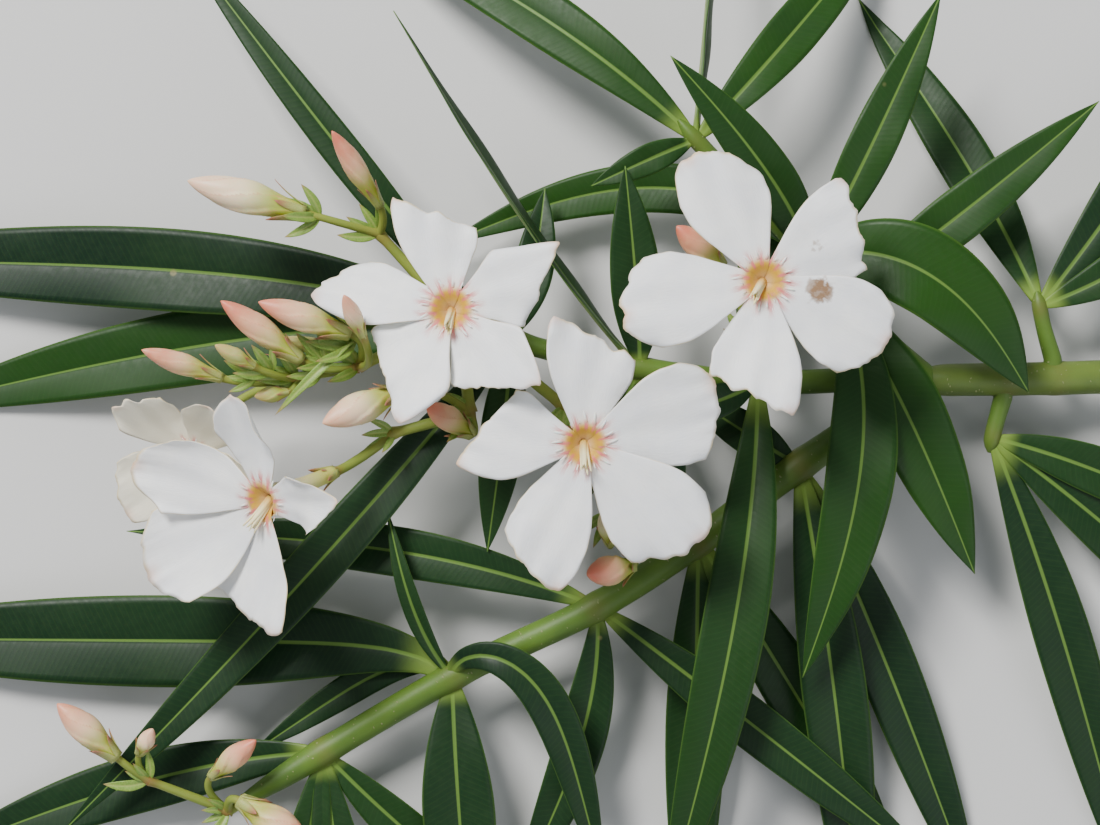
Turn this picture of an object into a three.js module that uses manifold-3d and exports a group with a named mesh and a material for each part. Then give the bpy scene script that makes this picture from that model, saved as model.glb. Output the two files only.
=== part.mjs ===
// A flowering branch of white oleander, cut and laid on a flat surface.
// Millimetres, +Z up. The main stem lies along X with its cut face at +X, the blooms look up,
// and the origin is under the middle of the branch, on the surface that it lies on.
import * as THREE from "three";
import Module from "manifold-3d";

const wasm = await Module();
wasm.setup();

// Driving sizes
const GAP = 0.3; // between two solids that touch on the plant
const CUT_X = 158; // the flat cut of the main stem
const STEM_CUT_RADIUS = 3.6;
const STEM_FORK_RADIUS = 3.2;
const STUB = 12; // length of each shoot that is one with the fork
const NODE_LENGTH = 4.5; // shoot past a whorl of leaves
const COLLAR = 6; // shoot below the first whorl that belongs to its mass
const LEAF_ROOT = 0.8; // from the middle of the shoot to where a leaf stalk starts inside it
const LEAF_SLENDER = 95; // a leaf's length over its thickness
const LEAF_THIN = 1.2;
const LEAF_FOLD = 0.14; // how far the halves of a blade stand up from its midrib
const PETIOLE = 0.17; // a leaf stalk's width over the blade's
const LEAF_WIDEST = 0.42; // part of the length where a blade is widest
const PETAL_THICKNESS = 0.7;
const PETAL_LEAN = 0.7; // how far each petal's leading edge stands over its neighbour
const MOUTH_RADIUS = 5;
const CROWN_HEIGHT = 3; // the ring of scales that stands in the mouth
const TUBE_LENGTH = 20; // a bloom from its mouth down to its foot
const SEPAL_LENGTH = 5;
const RIGHT_STALK_PLACE = 36.3; // along the flowering shoot

// Colours
const BARK = 0x7d8a4c;
const SHOOT = 0x7f9a45;
const LEAF = 0x2f5a2a;
const YOUNG_LEAF = 0x3d7030;
const PETAL = 0xf3f0e6;
const BUD = 0xe9cdb0;

const rad = THREE.MathUtils.degToRad;
const lerp = THREE.MathUtils.lerp;
const vec = (x, y, z) => new THREE.Vector3(x, y, z);

// A unit vector from a heading in the XY plane and a rise above it, both in degrees.
function direction(heading, rise) {
  const flat = Math.cos(rad(rise));
  return vec(flat * Math.cos(rad(heading)), flat * Math.sin(rad(heading)), Math.sin(rad(rise)));
}

// The solid of a closed list of vertices and triangles.
function solid(points, triangles) {
  const made = new wasm.Mesh({
    numProp: 3,
    vertProperties: new Float32Array(points.flatMap((p) => [p.x, p.y, p.z])),
    triVerts: new Uint32Array(triangles.flat()),
  });
  return new wasm.Manifold(made);
}

function join(solids) {
  return solids.reduce((whole, piece) => whole.add(piece));
}

// A closed body through rings of points, each ring anticlockwise as seen from the last one.
// A first or last ring of one point is a sharp end, and a longer one gets a flat end.
function loft(rings) {
  const points = rings.flat();
  const starts = rings.map((ring, i) => rings.slice(0, i).reduce((sum, r) => sum + r.length, 0));
  const triangles = [];
  for (let i = 0; i + 1 < rings.length; i += 1) {
    const [from, to] = [rings[i].length, rings[i + 1].length];
    const count = Math.max(from, to);
    for (let j = 0; j < count; j += 1) {
      const k = (j + 1) % count;
      const [a, b] = from === 1 ? [starts[i], starts[i]] : [starts[i] + j, starts[i] + k];
      const [c, d] = to === 1 ? [starts[i + 1], starts[i + 1]] : [starts[i + 1] + j, starts[i + 1] + k];
      if (from > 1) triangles.push([a, b, c]);
      if (to > 1) triangles.push([b, d, c]);
    }
  }
  const last = rings.length - 1;
  for (let j = 1; j + 1 < rings[0].length; j += 1) {
    triangles.push([starts[0], starts[0] + j + 1, starts[0] + j]);
  }
  for (let j = 1; j + 1 < rings[last].length; j += 1) {
    triangles.push([starts[last], starts[last] + j, starts[last] + j + 1]);
  }
  return solid(points, triangles);
}

// A round tapering limb along a part of a curve. radius is a function of the place on the curve.
function limb(curve, radius, { from = 0, to = 1, sides = 8, steps = 4, sharp = false } = {}) {
  const frames = curve.computeFrenetFrames(60, false);
  const rings = [];
  for (let i = 0; i <= steps; i += 1) {
    const at = lerp(from, to, i / steps);
    const centre = curve.getPointAt(at);
    const frame = Math.round(at * 60);
    const across = frames.normals[frame];
    const up = frames.binormals[frame];
    const ring = [];
    for (let j = 0; j < sides; j += 1) {
      const turn = (2 * Math.PI * j) / sides;
      ring.push(
        centre
          .clone()
          .addScaledVector(across, radius(at) * Math.cos(turn))
          .addScaledVector(up, radius(at) * Math.sin(turn)),
      );
    }
    rings.push(sharp && i === steps ? [centre] : ring);
  }
  return loft(rings);
}

// A slim limb between two places that arrives along a given direction.
function stalk(foot, tip, arriving, footRadius, tipRadius) {
  const reach = foot.distanceTo(tip) * 0.45;
  const elbow = tip.clone().addScaledVector(arriving, -reach);
  const curve = new THREE.QuadraticBezierCurve3(foot, elbow, tip);
  return limb(curve, (at) => lerp(footRadius, tipRadius, at), { sides: 5, steps: 2 });
}

// Leaves

// The width of a blade at a part of its length, over its greatest width.
function bladeWidth(at) {
  if (at > LEAF_WIDEST) {
    return 1 - ((at - LEAF_WIDEST) / (1 - LEAF_WIDEST)) ** 2;
  }
  return 1 - (1 - PETIOLE) * (1 - at / LEAF_WIDEST) ** 1.9;
}

// A long leaf that leaves the shoot at the first heading and rise and settles to the second ones.
// It is a flat diamond in section, and where it would sink below the surface it lies along it.
function leaf(foot, { heading, rise, length, width, roll, settling }) {
  const steps = 40;
  const thickness = Math.max(LEAF_THIN, length / LEAF_SLENDER);
  const lowest = thickness / 2 + (width / 2) * Math.abs(Math.sin(rad(roll)));
  const turnAt = (at) => lerp(heading[1], heading[0], (1 - at) ** settling);
  const path = [foot.clone()];
  for (let i = 0; i < steps; i += 1) {
    const at = (i + 0.5) / steps;
    const way = direction(turnAt(at), lerp(rise[1], rise[0], (1 - at) ** settling));
    const next = path[i].clone().addScaledVector(way, length / steps);
    next.z = Math.max(next.z, lowest);
    path.push(next);
  }
  const rings = [0, 3, 8, 15, 22, 29, 35].map((step) => {
    const at = step / steps;
    const along = path[step + 1].clone().sub(path[Math.max(step - 1, 0)]).normalize();
    const level = direction(turnAt(at) + 90, 0);
    const upright = along.clone().cross(level).normalize();
    const side = level.clone().multiplyScalar(Math.cos(rad(roll)));
    side.addScaledVector(upright, Math.sin(rad(roll)));
    const face = along.clone().cross(side);
    const half = (width / 2) * bladeWidth(at);
    const core = (thickness / 2) * (1 - 0.5 * at);
    const fold = half * LEAF_FOLD * Math.min(1, at * 5);
    const edge = (sign) => path[step].clone().addScaledVector(side, sign * half).addScaledVector(face, fold);
    return [
      edge(1),
      path[step].clone().addScaledVector(face, core),
      edge(-1),
      path[step].clone().addScaledVector(face, -core),
    ];
  });
  return loft([...rings, [path[steps]]]);
}

const blade = (heading, rise, length, width, roll = 0, settling = 2) => (
  { heading, rise, length, width, roll, settling }
);

// Shoots: the curve of each, its radius at foot and tip, and its whorls.
// A whorl has its distance along the shoot and its leaves.

const FORK = vec(75.4, 6.4, 14);

const shoots = {
  upper: {
    curve: new THREE.CatmullRomCurve3([FORK, vec(67.2, 13.3, 15.5), vec(57.6, 22.2, 17), vec(51.5, 29.6, 19),
      vec(41.1, 40.4, 21), vec(28.1, 53.5, 23), vec(25, 57, 23.6)]),
    radii: [2.4, 1.5],
    whorls: [
      [24, [blade([-60, -66], [34, -20], 62, 14.5), blade([-72, -108], [34, -16], 78, 13.5),
        blade([34, 40], [12, 4], 62, 10.5)]],
      [34, [blade([22, -56], [52, -22], 57, 16.5), blade([62, 66], [20, 0], 57, 9.5),
        blade([114, 133], [52, 6], 52, 9.5), blade([124, 203], [-20, -2], 80, 10)]],
      [67, [blade([136, 150], [4, -24], 94, 11.5), blade([203, 205], [20, 0], 22, 6),
        blade([84, 86], [0, -10], 62, 8, 78), blade([46, 52], [4, -34], 70, 10)]],
    ],
  },
  flowering: {
    curve: new THREE.CatmullRomCurve3([FORK, vec(63.7, 6.6, 15), vec(40.9, 6, 16), vec(17.7, 8.8, 17),
      vec(-3.9, 13.3, 17), vec(-11.5, 16.8, 18.2), vec(-15, 17.6, 20.8)]),
    radii: [2.6, 1.9],
    whorls: [
      [34.5, [blade([-92, -104], [26, -16], 112, 12.5), blade([85, 86], [-22, -12], 44, 11),
        blade([210, 192], [34, 8], 26, 7)]],
      [58, [blade([133, 121], [18, 8], 84, 8, 76), blade([92, 96], [34, 4], 40, 10),
        blade([-68, -78], [4, -6], 29, 8), blade([-114, -122], [-4, -4], 37, 9)]],
      [84, [blade([231, 225], [4, -9], 134, 10.2, 0, 1.3), blade([266, 262], [-2, -4], 42, 9),
        blade([66, 84], [4, -12], 30, 8)]],
      [90, [blade([162, 179], [-4, -9], 152, 16.5, 0, 3), blade([178, 193], [-12, -8], 125, 15.5),
        blade([131, 127], [14, -8], 98, 7.5)]],
    ],
  },
  lower: {
    curve: new THREE.CatmullRomCurve3([FORK, vec(49.6, -10.4, 14), vec(29.7, -25.3, 14), vec(9.9, -38.2, 13.5),
      vec(-18.9, -52.2, 12.5), vec(-43.9, -66.9, 11), vec(-60.8, -77.3, 11)]),
    radii: [3.1, 2.6],
    whorls: [
      [31, [blade([-64, -69], [-6, -10], 103, 12), blade([-80, -83], [5, -15], 107, 13),
        blade([150, 146], [8, -10], 26, 8)]],
      [56, [blade([-90, -91], [-12, -9], 90, 12), blade([-56, -60], [-6, -12], 86, 12),
        blade([128, 136], [0, 0], 26, 8)]],
      [80, [blade([-36, -39], [8, -8], 90, 10), blade([-86, -116], [-10, -10], 64, 10),
        blade([157, 178.5], [2, -8], 96, 10)]],
      [112, [blade([128, 102], [30, -6], 36, 4), blade([-88, -85], [10, -14], 64, 14.5),
        blade([88, -76], [60, -18], 68, 8.5, 0, 4.5), blade([140, 180], [-2, -5], 138, 18.5, 0, 14),
        blade([140, 214], [-20, -4], 46, 6.5, 0, 5)]],
      [142, [blade([262, 256], [4, -6], 62, 10), blade([-84, -76], [4, -8], 66, 11),
        blade([184, 202], [-12, -4], 88, 12), blade([-46, -40], [0, -10], 56, 9)]],
    ],
  },
  right: {
    curve: new THREE.CatmullRomCurve3([vec(100, 10.6, 12.4), vec(98, 17, 13.4), vec(96.5, 24, 14.2)]),
    radii: [1.8, 1.3],
    whorls: [
      [11, [blade([52, 56], [6, -18], 78, 11), blade([112, 122], [-6, -15], 73, 11),
        blade([20, 40], [10, -10], 62, 10)]],
    ],
  },
  under: {
    curve: new THREE.CatmullRomCurve3([vec(90, 2.7, 12.5), vec(88.5, -3, 12), vec(87.5, -8, 11.5)]),
    radii: [1.9, 1.4],
    whorls: [
      [8, [blade([-36, -42], [4, -15], 85, 12), blade([-68, -74], [0, -11], 104, 11.5),
        blade([-14, -26], [8, -10], 58, 10)]],
    ],
  },
};

for (const shoot of Object.values(shoots)) {
  shoot.length = shoot.curve.getLength();
  shoot.radius = (at) => lerp(shoot.radii[0], shoot.radii[1], at);
}

function piece(shoot, from, to, options = {}) {
  const steps = Math.max(2, Math.round((to - from) / 7));
  const range = { from: from / shoot.length, to: to / shoot.length, steps };
  return limb(shoot.curve, shoot.radius, { ...range, ...options });
}

// One whorl of leaves with the length of shoot that carries it, as one body.
function mass(shoot, from, to, [place, leaves]) {
  const foot = shoot.curve.getPointAt(place / shoot.length);
  const blades = leaves.map((spec) => {
    const root = foot.clone().addScaledVector(direction(spec.heading[0], spec.rise[0]), LEAF_ROOT);
    return leaf(root, spec);
  });
  return join([piece(shoot, from, to), ...blades]);
}

// Blooms

// A closed sheet over a grid of two running values, with the same thickness along Z.
function sheet(place, rows, columns) {
  const points = [];
  for (const lift of [PETAL_THICKNESS / 2, -PETAL_THICKNESS / 2]) {
    for (let i = 0; i <= rows; i += 1) {
      for (let j = 0; j <= columns; j += 1) {
        points.push(place(i / rows, (2 * j) / columns - 1).add(vec(0, 0, lift)));
      }
    }
  }
  const under = (rows + 1) * (columns + 1);
  const index = (i, j) => i * (columns + 1) + j;
  const triangles = [];
  const quad = (a, b, c, d) => triangles.push([a, b, c], [a, c, d]);
  for (let i = 0; i < rows; i += 1) {
    for (let j = 0; j < columns; j += 1) {
      const [a, b, c, d] = [index(i, j), index(i + 1, j), index(i + 1, j + 1), index(i, j + 1)];
      quad(a, b, c, d);
      quad(d + under, c + under, b + under, a + under);
    }
  }
  const rim = [];
  for (let i = 0; i < rows; i += 1) rim.push(index(i, 0));
  for (let j = 0; j < columns; j += 1) rim.push(index(rows, j));
  for (let i = rows; i > 0; i -= 1) rim.push(index(i, columns));
  for (let j = columns; j > 0; j -= 1) rim.push(index(0, j));
  rim.forEach((a, k) => {
    const b = rim[(k + 1) % rim.length];
    quad(a, a + under, b + under, b);
  });
  return solid(points, triangles);
}

// How far out a petal's end lies across it, from -1 to 1: all the way at its drawn-out corner,
// which lies at lead, and falling short of that to either side.
function endOf(across, { lead, short, blunt }) {
  if (across < lead) return 1 - (1 - short) * ((lead - across) / (lead + 1)) ** blunt;
  const near = short + (1 - short) * Math.max(0, (lead - 0.6) / 0.4);
  return 1 - (1 - near) * ((across - lead) / (1 - lead)) ** (blunt + 0.5);
}

// A petal runs out from the mouth and widens to a slanting end, one corner of it drawn out.
// place takes the reach, from 0 at the mouth to 1 at the end, and across, from -1 to 1.
function petal(spec) {
  const from = MOUTH_RADIUS - 0.9;
  const place = (reach, across) => {
    const corner = 1 + (endOf(across, spec) - 1) * Math.sqrt(reach);
    const out = from + (spec.reach - from) * reach * corner;
    const half = lerp(3.2, spec.width / 2, Math.sin((Math.PI / 2) * Math.min(1, reach * 1.25)));
    const height = spec.cup * reach * reach - 1.2 * (1 - reach) + PETAL_LEAN * across * Math.min(1, reach * 3);
    return vec(out, across * half, height).applyAxisAngle(vec(0, 0, 1), rad(spec.turn));
  };
  return sheet(place, 4, 4);
}

// A body turned about Z from a profile of radius and height that starts and ends on the axis.
function turned(profile, sides) {
  const rings = profile.map(([radius, height]) => {
    if (radius === 0) return [vec(0, 0, height)];
    return Array.from({ length: sides }, (_, j) => {
      const turn = (2 * Math.PI * j) / sides;
      return vec(radius * Math.cos(turn), radius * Math.sin(turn), height);
    });
  });
  return loft(rings);
}

// Five sepals as spikes round a foot.
function spikes({ radius, height, length, lean, thick, start = 0 }) {
  return Array.from({ length: 5 }, (_, i) => {
    const turn = start + 72 * i;
    const foot = direction(turn, 0).multiplyScalar(radius).add(vec(0, 0, height));
    const tip = foot.clone().addScaledVector(direction(turn, lean), length);
    const curve = new THREE.LineCurve3(foot, tip);
    return limb(curve, (at) => thick * (1 - at), { sides: 3, steps: 1, sharp: true });
  });
}

function bloomFrame({ centre, heading, tilt, size }) {
  const facing = direction(heading, 90 - tilt);
  const turn = new THREE.Quaternion().setFromUnitVectors(vec(0, 0, 1), facing);
  return new THREE.Matrix4().compose(centre, turn, vec(size, size, size));
}

// The whole bloom about its own axis, its mouth at the origin and its foot below.
function bloom({ petals }) {
  const foot = -TUBE_LENGTH;
  const funnel = turned([[0, foot], [1.3, foot], [1.6, foot + 8], [4.4, -2.5], [MOUTH_RADIUS, 0],
    [4.3, CROWN_HEIGHT], [3.2, -3], [0, foot + 10]], 8);
  const anthers = turned([[0, foot + 9], [1, foot + 9.5], [1.2, -4], [0, 2.5]], 5);
  const calyx = spikes({ radius: 1, height: foot + 0.6, length: SEPAL_LENGTH, lean: 72, thick: 0.8, start: 36 });
  return join([funnel, anthers, ...petals.map(petal), ...calyx]);
}

// Turn about the bloom, reach and width, how far the end curls up, then where the drawn-out
// corner lies, how far the other corner falls short and how round the end is.
function petalOf(turn, reach, width, cup, lead, short, blunt) {
  return { turn, reach, width, cup, lead, short, blunt };
}

const blooms = [
  {
    centre: vec(-18.6, 19.4, 46), heading: 120, tilt: 9, size: 1,
    petals: [
      petalOf(20, 23.6, 15, 0, 0.58, 0.4, 1), petalOf(101, 22.9, 15, 1, 0.9, 0.55, 0.85),
      petalOf(168, 26.6, 12.5, -2, 0.4, 0.6, 1.5), petalOf(232, 23.2, 19, 0, 0.64, 0.43, 1),
      petalOf(307, 22.4, 16.4, 1, 0.55, 0.45, 1),
    ],
  },
  {
    centre: vec(39.9, 24.6, 47), heading: 40, tilt: 6, size: 1,
    petals: [
      petalOf(33, 22.8, 17.5, 1, 0.92, 0.72, 1.2), petalOf(115, 26.6, 17, 0, 0.42, 0.66, 2.6),
      petalOf(191, 27.4, 17.5, -1, 0.2, 0.72, 2.2), petalOf(264, 24.8, 17, 1, 0.85, 0.7, 1),
      petalOf(332, 25.7, 17.2, 0, 0.1, 0.74, 2.4),
    ],
  },
  {
    centre: vec(6.5, -6, 43.6), heading: 300, tilt: 7, size: 1,
    petals: [
      petalOf(17, 26.6, 19.2, 0, 0.4, 0.76, 2.2), petalOf(86, 23.7, 17, -1, 0.88, 0.62, 1.1),
      petalOf(173, 23.4, 17, -1, 0.78, 0.5, 1.2), petalOf(248, 27.6, 15.6, 1, 0.7, 0.7, 2),
      petalOf(315, 28.5, 19.4, 0, 0.3, 0.76, 2),
    ],
  },
  {
    centre: vec(-54.1, -16.9, 44), heading: 203, tilt: 44, size: 1,
    petals: [
      petalOf(87, 22.5, 9, 5, 0.1, 0.6, 1.5), petalOf(165, 26.5, 15, 8, 0, 0.65, 1.8),
      petalOf(210, 28.5, 19, 9.5, 0.1, 0.7, 2), petalOf(257, 22.8, 22, 4, 0.8, 0.85, 2),
      petalOf(368, 24, 11.5, 3.5, 0.1, 0.42, 1.2),
    ],
  },
  {
    centre: vec(-68.9, -8.3, 29), heading: 240, tilt: 39, size: 0.72,
    petals: [
      petalOf(128, 24, 17, 5, 0.4, 0.7, 2), petalOf(214, 27.5, 19, 5, 0.4, 0.7, 2),
      petalOf(282, 22, 17, 5, 0.4, 0.7, 2), petalOf(345, 20, 15, 5, 0.4, 0.7, 2),
      petalOf(414, 22.5, 17, 5, 0.4, 0.7, 2),
    ],
  },
];

function bloomFoot(spec) {
  const facing = direction(spec.heading, 90 - spec.tilt);
  const reach = TUBE_LENGTH * spec.size + GAP;
  return { tip: spec.centre.clone().addScaledVector(facing, -reach), arriving: facing };
}

// Buds: foot, heading, rise, length and greatest radius.

const BUD_PROFILE = [[0, 0.36], [0.22, 0.68], [0.46, 1], [0.68, 0.92], [0.88, 0.52]];
const budOf = (foot, heading, rise, length, radius) => ({ foot, heading, rise, length, radius });

const buds = [
  budOf(vec(-46.8, 38.1, 33), 165, 8, 23, 3.2),
  budOf(vec(-32.5, 39.4, 33), 122, 35, 19, 2),
  budOf(vec(-38, 15, 34.5), 161, 13, 18.5, 2.65),
  budOf(vec(-34.8, 14, 45), 112, 42, 11, 1.6),
  budOf(vec(-47.5, 10, 32), 143, 18, 19.4, 2.5),
  budOf(vec(-62.9, 6.6, 31), 160, 21, 16.5, 2.05),
  budOf(vec(-56, 8.6, 35), 150, 30, 9.5, 1.5),
  budOf(vec(-40.5, 12.2, 27.4), 172, 6, 13, 1.5),
  budOf(vec(-29, 4, 28), 203, 24, 17, 3.05),
  budOf(vec(-15.1, -4.2, 26), 146, 34, 12.5, 2.4),
  budOf(vec(15.9, -29.7, 26), 187, 47, 13, 2.8),
  budOf(vec(11.6, -25.6, 27), 99, 36, 9, 1.8),
  budOf(vec(33.2, 27.9, 28), 140, 27, 13.3, 2.6),
  budOf(vec(-50, 4, 29), 188, 14, 7, 1.5),
];

const lowerBuds = [
  budOf(vec(-84.7, -67.5, 21), 135, 14, 16, 2.8),
  budOf(vec(-80.6, -67, 20), 59, 26, 7, 1.6),
  budOf(vec(-66.8, -71.8, 17), 40, 24, 13.5, 2.2),
  budOf(vec(-61.3, -76.5, 17), -30, 10, 16.8, 3.2),
];

function bud({ foot, heading, rise, length, radius }) {
  const way = direction(heading, rise);
  const turn = new THREE.Quaternion().setFromUnitVectors(vec(0, 0, 1), way);
  const profile = BUD_PROFILE.map(([along, out]) => [out * radius, along * length]);
  const body = turned([[0, 0], ...profile, [0, length]], 6);
  const calyx = spikes({ radius: 0.25 * radius, height: 0.3, length: 0.3 * length, lean: 76, thick: 0.3 * radius });
  const frame = new THREE.Matrix4().compose(foot, turn, vec(1, 1, 1));
  return join([body, ...calyx]).transform(frame.elements);
}

function budFoot(spec) {
  const way = direction(spec.heading, spec.rise);
  return { tip: spec.foot.clone().addScaledVector(way, -GAP), arriving: way };
}

// Flower stalks: places where they branch, and what each carries.

function shootEnd({ curve }, past) {
  return curve.getPointAt(1).addScaledVector(curve.getTangentAt(1), past);
}

const CROTCH = shootEnd(shoots.flowering, 4);
const LEFT_UPPER = vec(-33, 34.5, 27.5);
const LEFT_MIDDLE = vec(-37, 8.8, 27);
const LEFT_FAR = vec(-49, 6.6, 27.5);
const LEFT_LOWER = vec(-30.5, -4, 24);
const MIDDLE_LOWER = vec(-15.5, 0, 23);
const FRONT = vec(3, 1, 22);
const FRONT_LOWER = vec(11.5, -20, 23);

function branch(from, to, fromRadius, toRadius) {
  return stalk(from, to, to.clone().sub(from).normalize(), fromRadius, toRadius);
}

function carry(from, { tip, arriving }, fromRadius, toRadius) {
  return stalk(from, tip, arriving, fromRadius, toRadius);
}

function flowerStalks() {
  const limbs = [
    branch(shootEnd(shoots.flowering, GAP), CROTCH, 1.9, 1.6),
    branch(CROTCH, LEFT_UPPER, 1.3, 1),
    branch(CROTCH, LEFT_MIDDLE, 1.4, 1.1),
    branch(LEFT_MIDDLE, LEFT_FAR, 1.1, 0.9),
    branch(CROTCH, MIDDLE_LOWER, 1.4, 1.2),
    branch(MIDDLE_LOWER, LEFT_LOWER, 1.2, 1.1),
    branch(CROTCH, FRONT, 1.4, 1.2),
    branch(FRONT, FRONT_LOWER, 1, 0.9),
    carry(CROTCH, bloomFoot(blooms[0]), 1.2, 1),
    carry(FRONT, bloomFoot(blooms[2]), 1.1, 1),
    carry(LEFT_LOWER, bloomFoot(blooms[3]), 1.1, 1),
    carry(LEFT_FAR, bloomFoot(blooms[4]), 0.9, 0.9),
  ];
  const bearers = [LEFT_UPPER, LEFT_UPPER, LEFT_MIDDLE, LEFT_MIDDLE, LEFT_MIDDLE, LEFT_FAR, LEFT_FAR,
    LEFT_MIDDLE, MIDDLE_LOWER, MIDDLE_LOWER, FRONT_LOWER, FRONT_LOWER, null, LEFT_FAR];
  bearers.forEach((bearer, i) => {
    if (bearer) limbs.push(carry(bearer, budFoot(buds[i]), 0.9, 0.75));
  });
  limbs.push(leaf(LEFT_MIDDLE, blade([200, 222], [50, 4], 24, 2.4)));
  return join(limbs);
}

// The stalk of the right bloom comes out of the side of the flowering shoot, at its first whorl.
function rightStalk() {
  const { curve, length, radius } = shoots.flowering;
  const at = RIGHT_STALK_PLACE / length;
  const middle = curve.getPointAt(at);
  const crotch = vec(38, 14, 23);
  const outward = crotch.clone().sub(middle).normalize();
  const foot = middle.clone().addScaledVector(outward, radius(at) + GAP);
  return join([
    branch(foot, crotch, 1.3, 1.1),
    carry(crotch, bloomFoot(blooms[1]), 1.1, 1),
    carry(crotch, budFoot(buds[12]), 0.9, 0.8),
  ]);
}

function lowerStalks() {
  const foot = shootEnd(shoots.lower, GAP);
  const crotch = shootEnd(shoots.lower, 4);
  const far = vec(-79, -72.5, 17.4);
  return join([
    branch(foot, crotch, 1.3, 1.2),
    branch(crotch, far, 1.1, 0.9),
    carry(far, budFoot(lowerBuds[0]), 0.9, 0.8),
    carry(far, budFoot(lowerBuds[1]), 0.8, 0.6),
    carry(crotch, budFoot(lowerBuds[2]), 0.9, 0.7),
    carry(crotch, budFoot(lowerBuds[3]), 1, 0.9),
  ]);
}

// The main stem from its flat cut to the fork, one with the feet of its three shoots.
function mainStem() {
  const curve = new THREE.CatmullRomCurve3([vec(CUT_X, 8, 3.6), vec(126, 7.6, 8), vec(100, 6.8, 11.8), FORK]);
  const trunk = limb(curve, (at) => lerp(STEM_CUT_RADIUS, STEM_FORK_RADIUS, at), { sides: 10, steps: 7 });
  const feet = [shoots.upper, shoots.flowering, shoots.lower].map((shoot) => piece(shoot, 0, STUB));
  return join([trunk, ...feet]);
}

// Assembly

const branchGroup = new THREE.Group();

function add(name, made, colour, roughness) {
  const { vertProperties, triVerts } = made.getMesh();
  const geometry = new THREE.BufferGeometry();
  geometry.setAttribute("position", new THREE.BufferAttribute(vertProperties, 3));
  geometry.setIndex(new THREE.BufferAttribute(triVerts, 1));
  geometry.computeVertexNormals();
  const mesh = new THREE.Mesh(geometry, new THREE.MeshStandardMaterial({ color: colour, roughness, metalness: 0 }));
  mesh.name = name;
  branchGroup.add(mesh);
}

add("main_stem", mainStem(), BARK, 0.8);

for (const [name, shoot] of Object.entries(shoots)) {
  const forked = ["upper", "flowering", "lower"].includes(name);
  let from = 0;
  if (forked) {
    const end = shoot.whorls[0][0] - COLLAR;
    add(`bough_${name}`, piece(shoot, STUB + GAP, end), SHOOT, 0.7);
    from = end + GAP;
  }
  shoot.whorls.forEach((whorl, i) => {
    const last = i === shoot.whorls.length - 1;
    const to = last ? shoot.length : whorl[0] + NODE_LENGTH;
    add(`leaves_${name}_${i + 1}`, mass(shoot, from, to, whorl), name === "upper" ? YOUNG_LEAF : LEAF, 0.45);
    from = to + GAP;
  });
}

add("flower_stalks", flowerStalks(), SHOOT, 0.7);
add("flower_stalk_right", rightStalk(), SHOOT, 0.7);
add("bud_stalks_lower", lowerStalks(), SHOOT, 0.7);

blooms.forEach((spec, i) => {
  add(`bloom_${i + 1}`, bloom(spec).transform(bloomFrame(spec).elements), PETAL, 0.6);
});
buds.forEach((spec, i) => add(`bud_${i + 1}`, bud(spec), BUD, 0.6));
lowerBuds.forEach((spec, i) => add(`lower_bud_${i + 1}`, bud(spec), BUD, 0.6));

// The origin goes under the middle of the whole branch.
const whole = new THREE.Box3().setFromObject(branchGroup);
const middle = whole.getCenter(vec(0, 0, 0));
branchGroup.children.forEach((mesh) => {
  mesh.position.set(-middle.x, -middle.y, -whole.min.z);
});

export default branchGroup;
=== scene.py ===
# A flowering branch of white oleander, cut and laid on a table, in metres and +Z up.
import math
import random
from collections import namedtuple

import bmesh
import bpy
from mathutils import Matrix, Vector, noise


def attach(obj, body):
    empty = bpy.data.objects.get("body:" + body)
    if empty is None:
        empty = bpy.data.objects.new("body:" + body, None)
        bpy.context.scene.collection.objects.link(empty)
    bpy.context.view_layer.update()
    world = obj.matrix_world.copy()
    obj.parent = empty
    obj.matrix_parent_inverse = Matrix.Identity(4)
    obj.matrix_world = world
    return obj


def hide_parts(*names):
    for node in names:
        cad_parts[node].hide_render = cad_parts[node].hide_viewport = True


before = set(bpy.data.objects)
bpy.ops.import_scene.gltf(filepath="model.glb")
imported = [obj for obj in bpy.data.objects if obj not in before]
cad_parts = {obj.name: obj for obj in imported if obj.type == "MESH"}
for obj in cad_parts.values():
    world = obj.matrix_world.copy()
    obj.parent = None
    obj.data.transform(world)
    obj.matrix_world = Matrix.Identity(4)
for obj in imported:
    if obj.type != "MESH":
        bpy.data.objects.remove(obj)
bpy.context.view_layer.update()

# Table, light and camera
# The branch lies on a pale table under wide soft lights. The camera looks straight down at it
# from half a metre, as the photograph looks straight into the blooms.
MM = 0.001
PICTURE_WIDTH = 1100
PIXEL = 0.186 * MM  # at the height of the blooms
BLOOM_HEIGHT = 46 * MM
CAMERA_OVER_BLOOMS = 484 * MM
SENSOR = 36
MIDDLE = Vector((2.189, 8.837, -0.206)) * MM  # from the middle of the picture to the branch's own
FLOOR_HALF = 3


def new_object(name, data):
    made = bpy.data.objects.new(name, data)
    bpy.context.scene.collection.objects.link(made)
    return made


camera = new_object("camera", bpy.data.cameras.new("camera"))
camera.data.sensor_width = SENSOR
camera.data.lens = SENSOR * CAMERA_OVER_BLOOMS / (PICTURE_WIDTH * PIXEL)
camera.location = MIDDLE + Vector((0, 0, BLOOM_HEIGHT + CAMERA_OVER_BLOOMS))
bpy.context.scene.camera = camera


def soft_light(name, place, size, watts, colour):
    lamp = bpy.data.lights.new(name, "AREA")
    lamp.shape = "SQUARE"
    lamp.size = size
    lamp.energy = watts
    lamp.color = colour
    made = new_object(name, lamp)
    made.location = place
    made.rotation_mode = "QUATERNION"
    made.rotation_quaternion = (-Vector(place)).to_track_quat("-Z", "Y")


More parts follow.
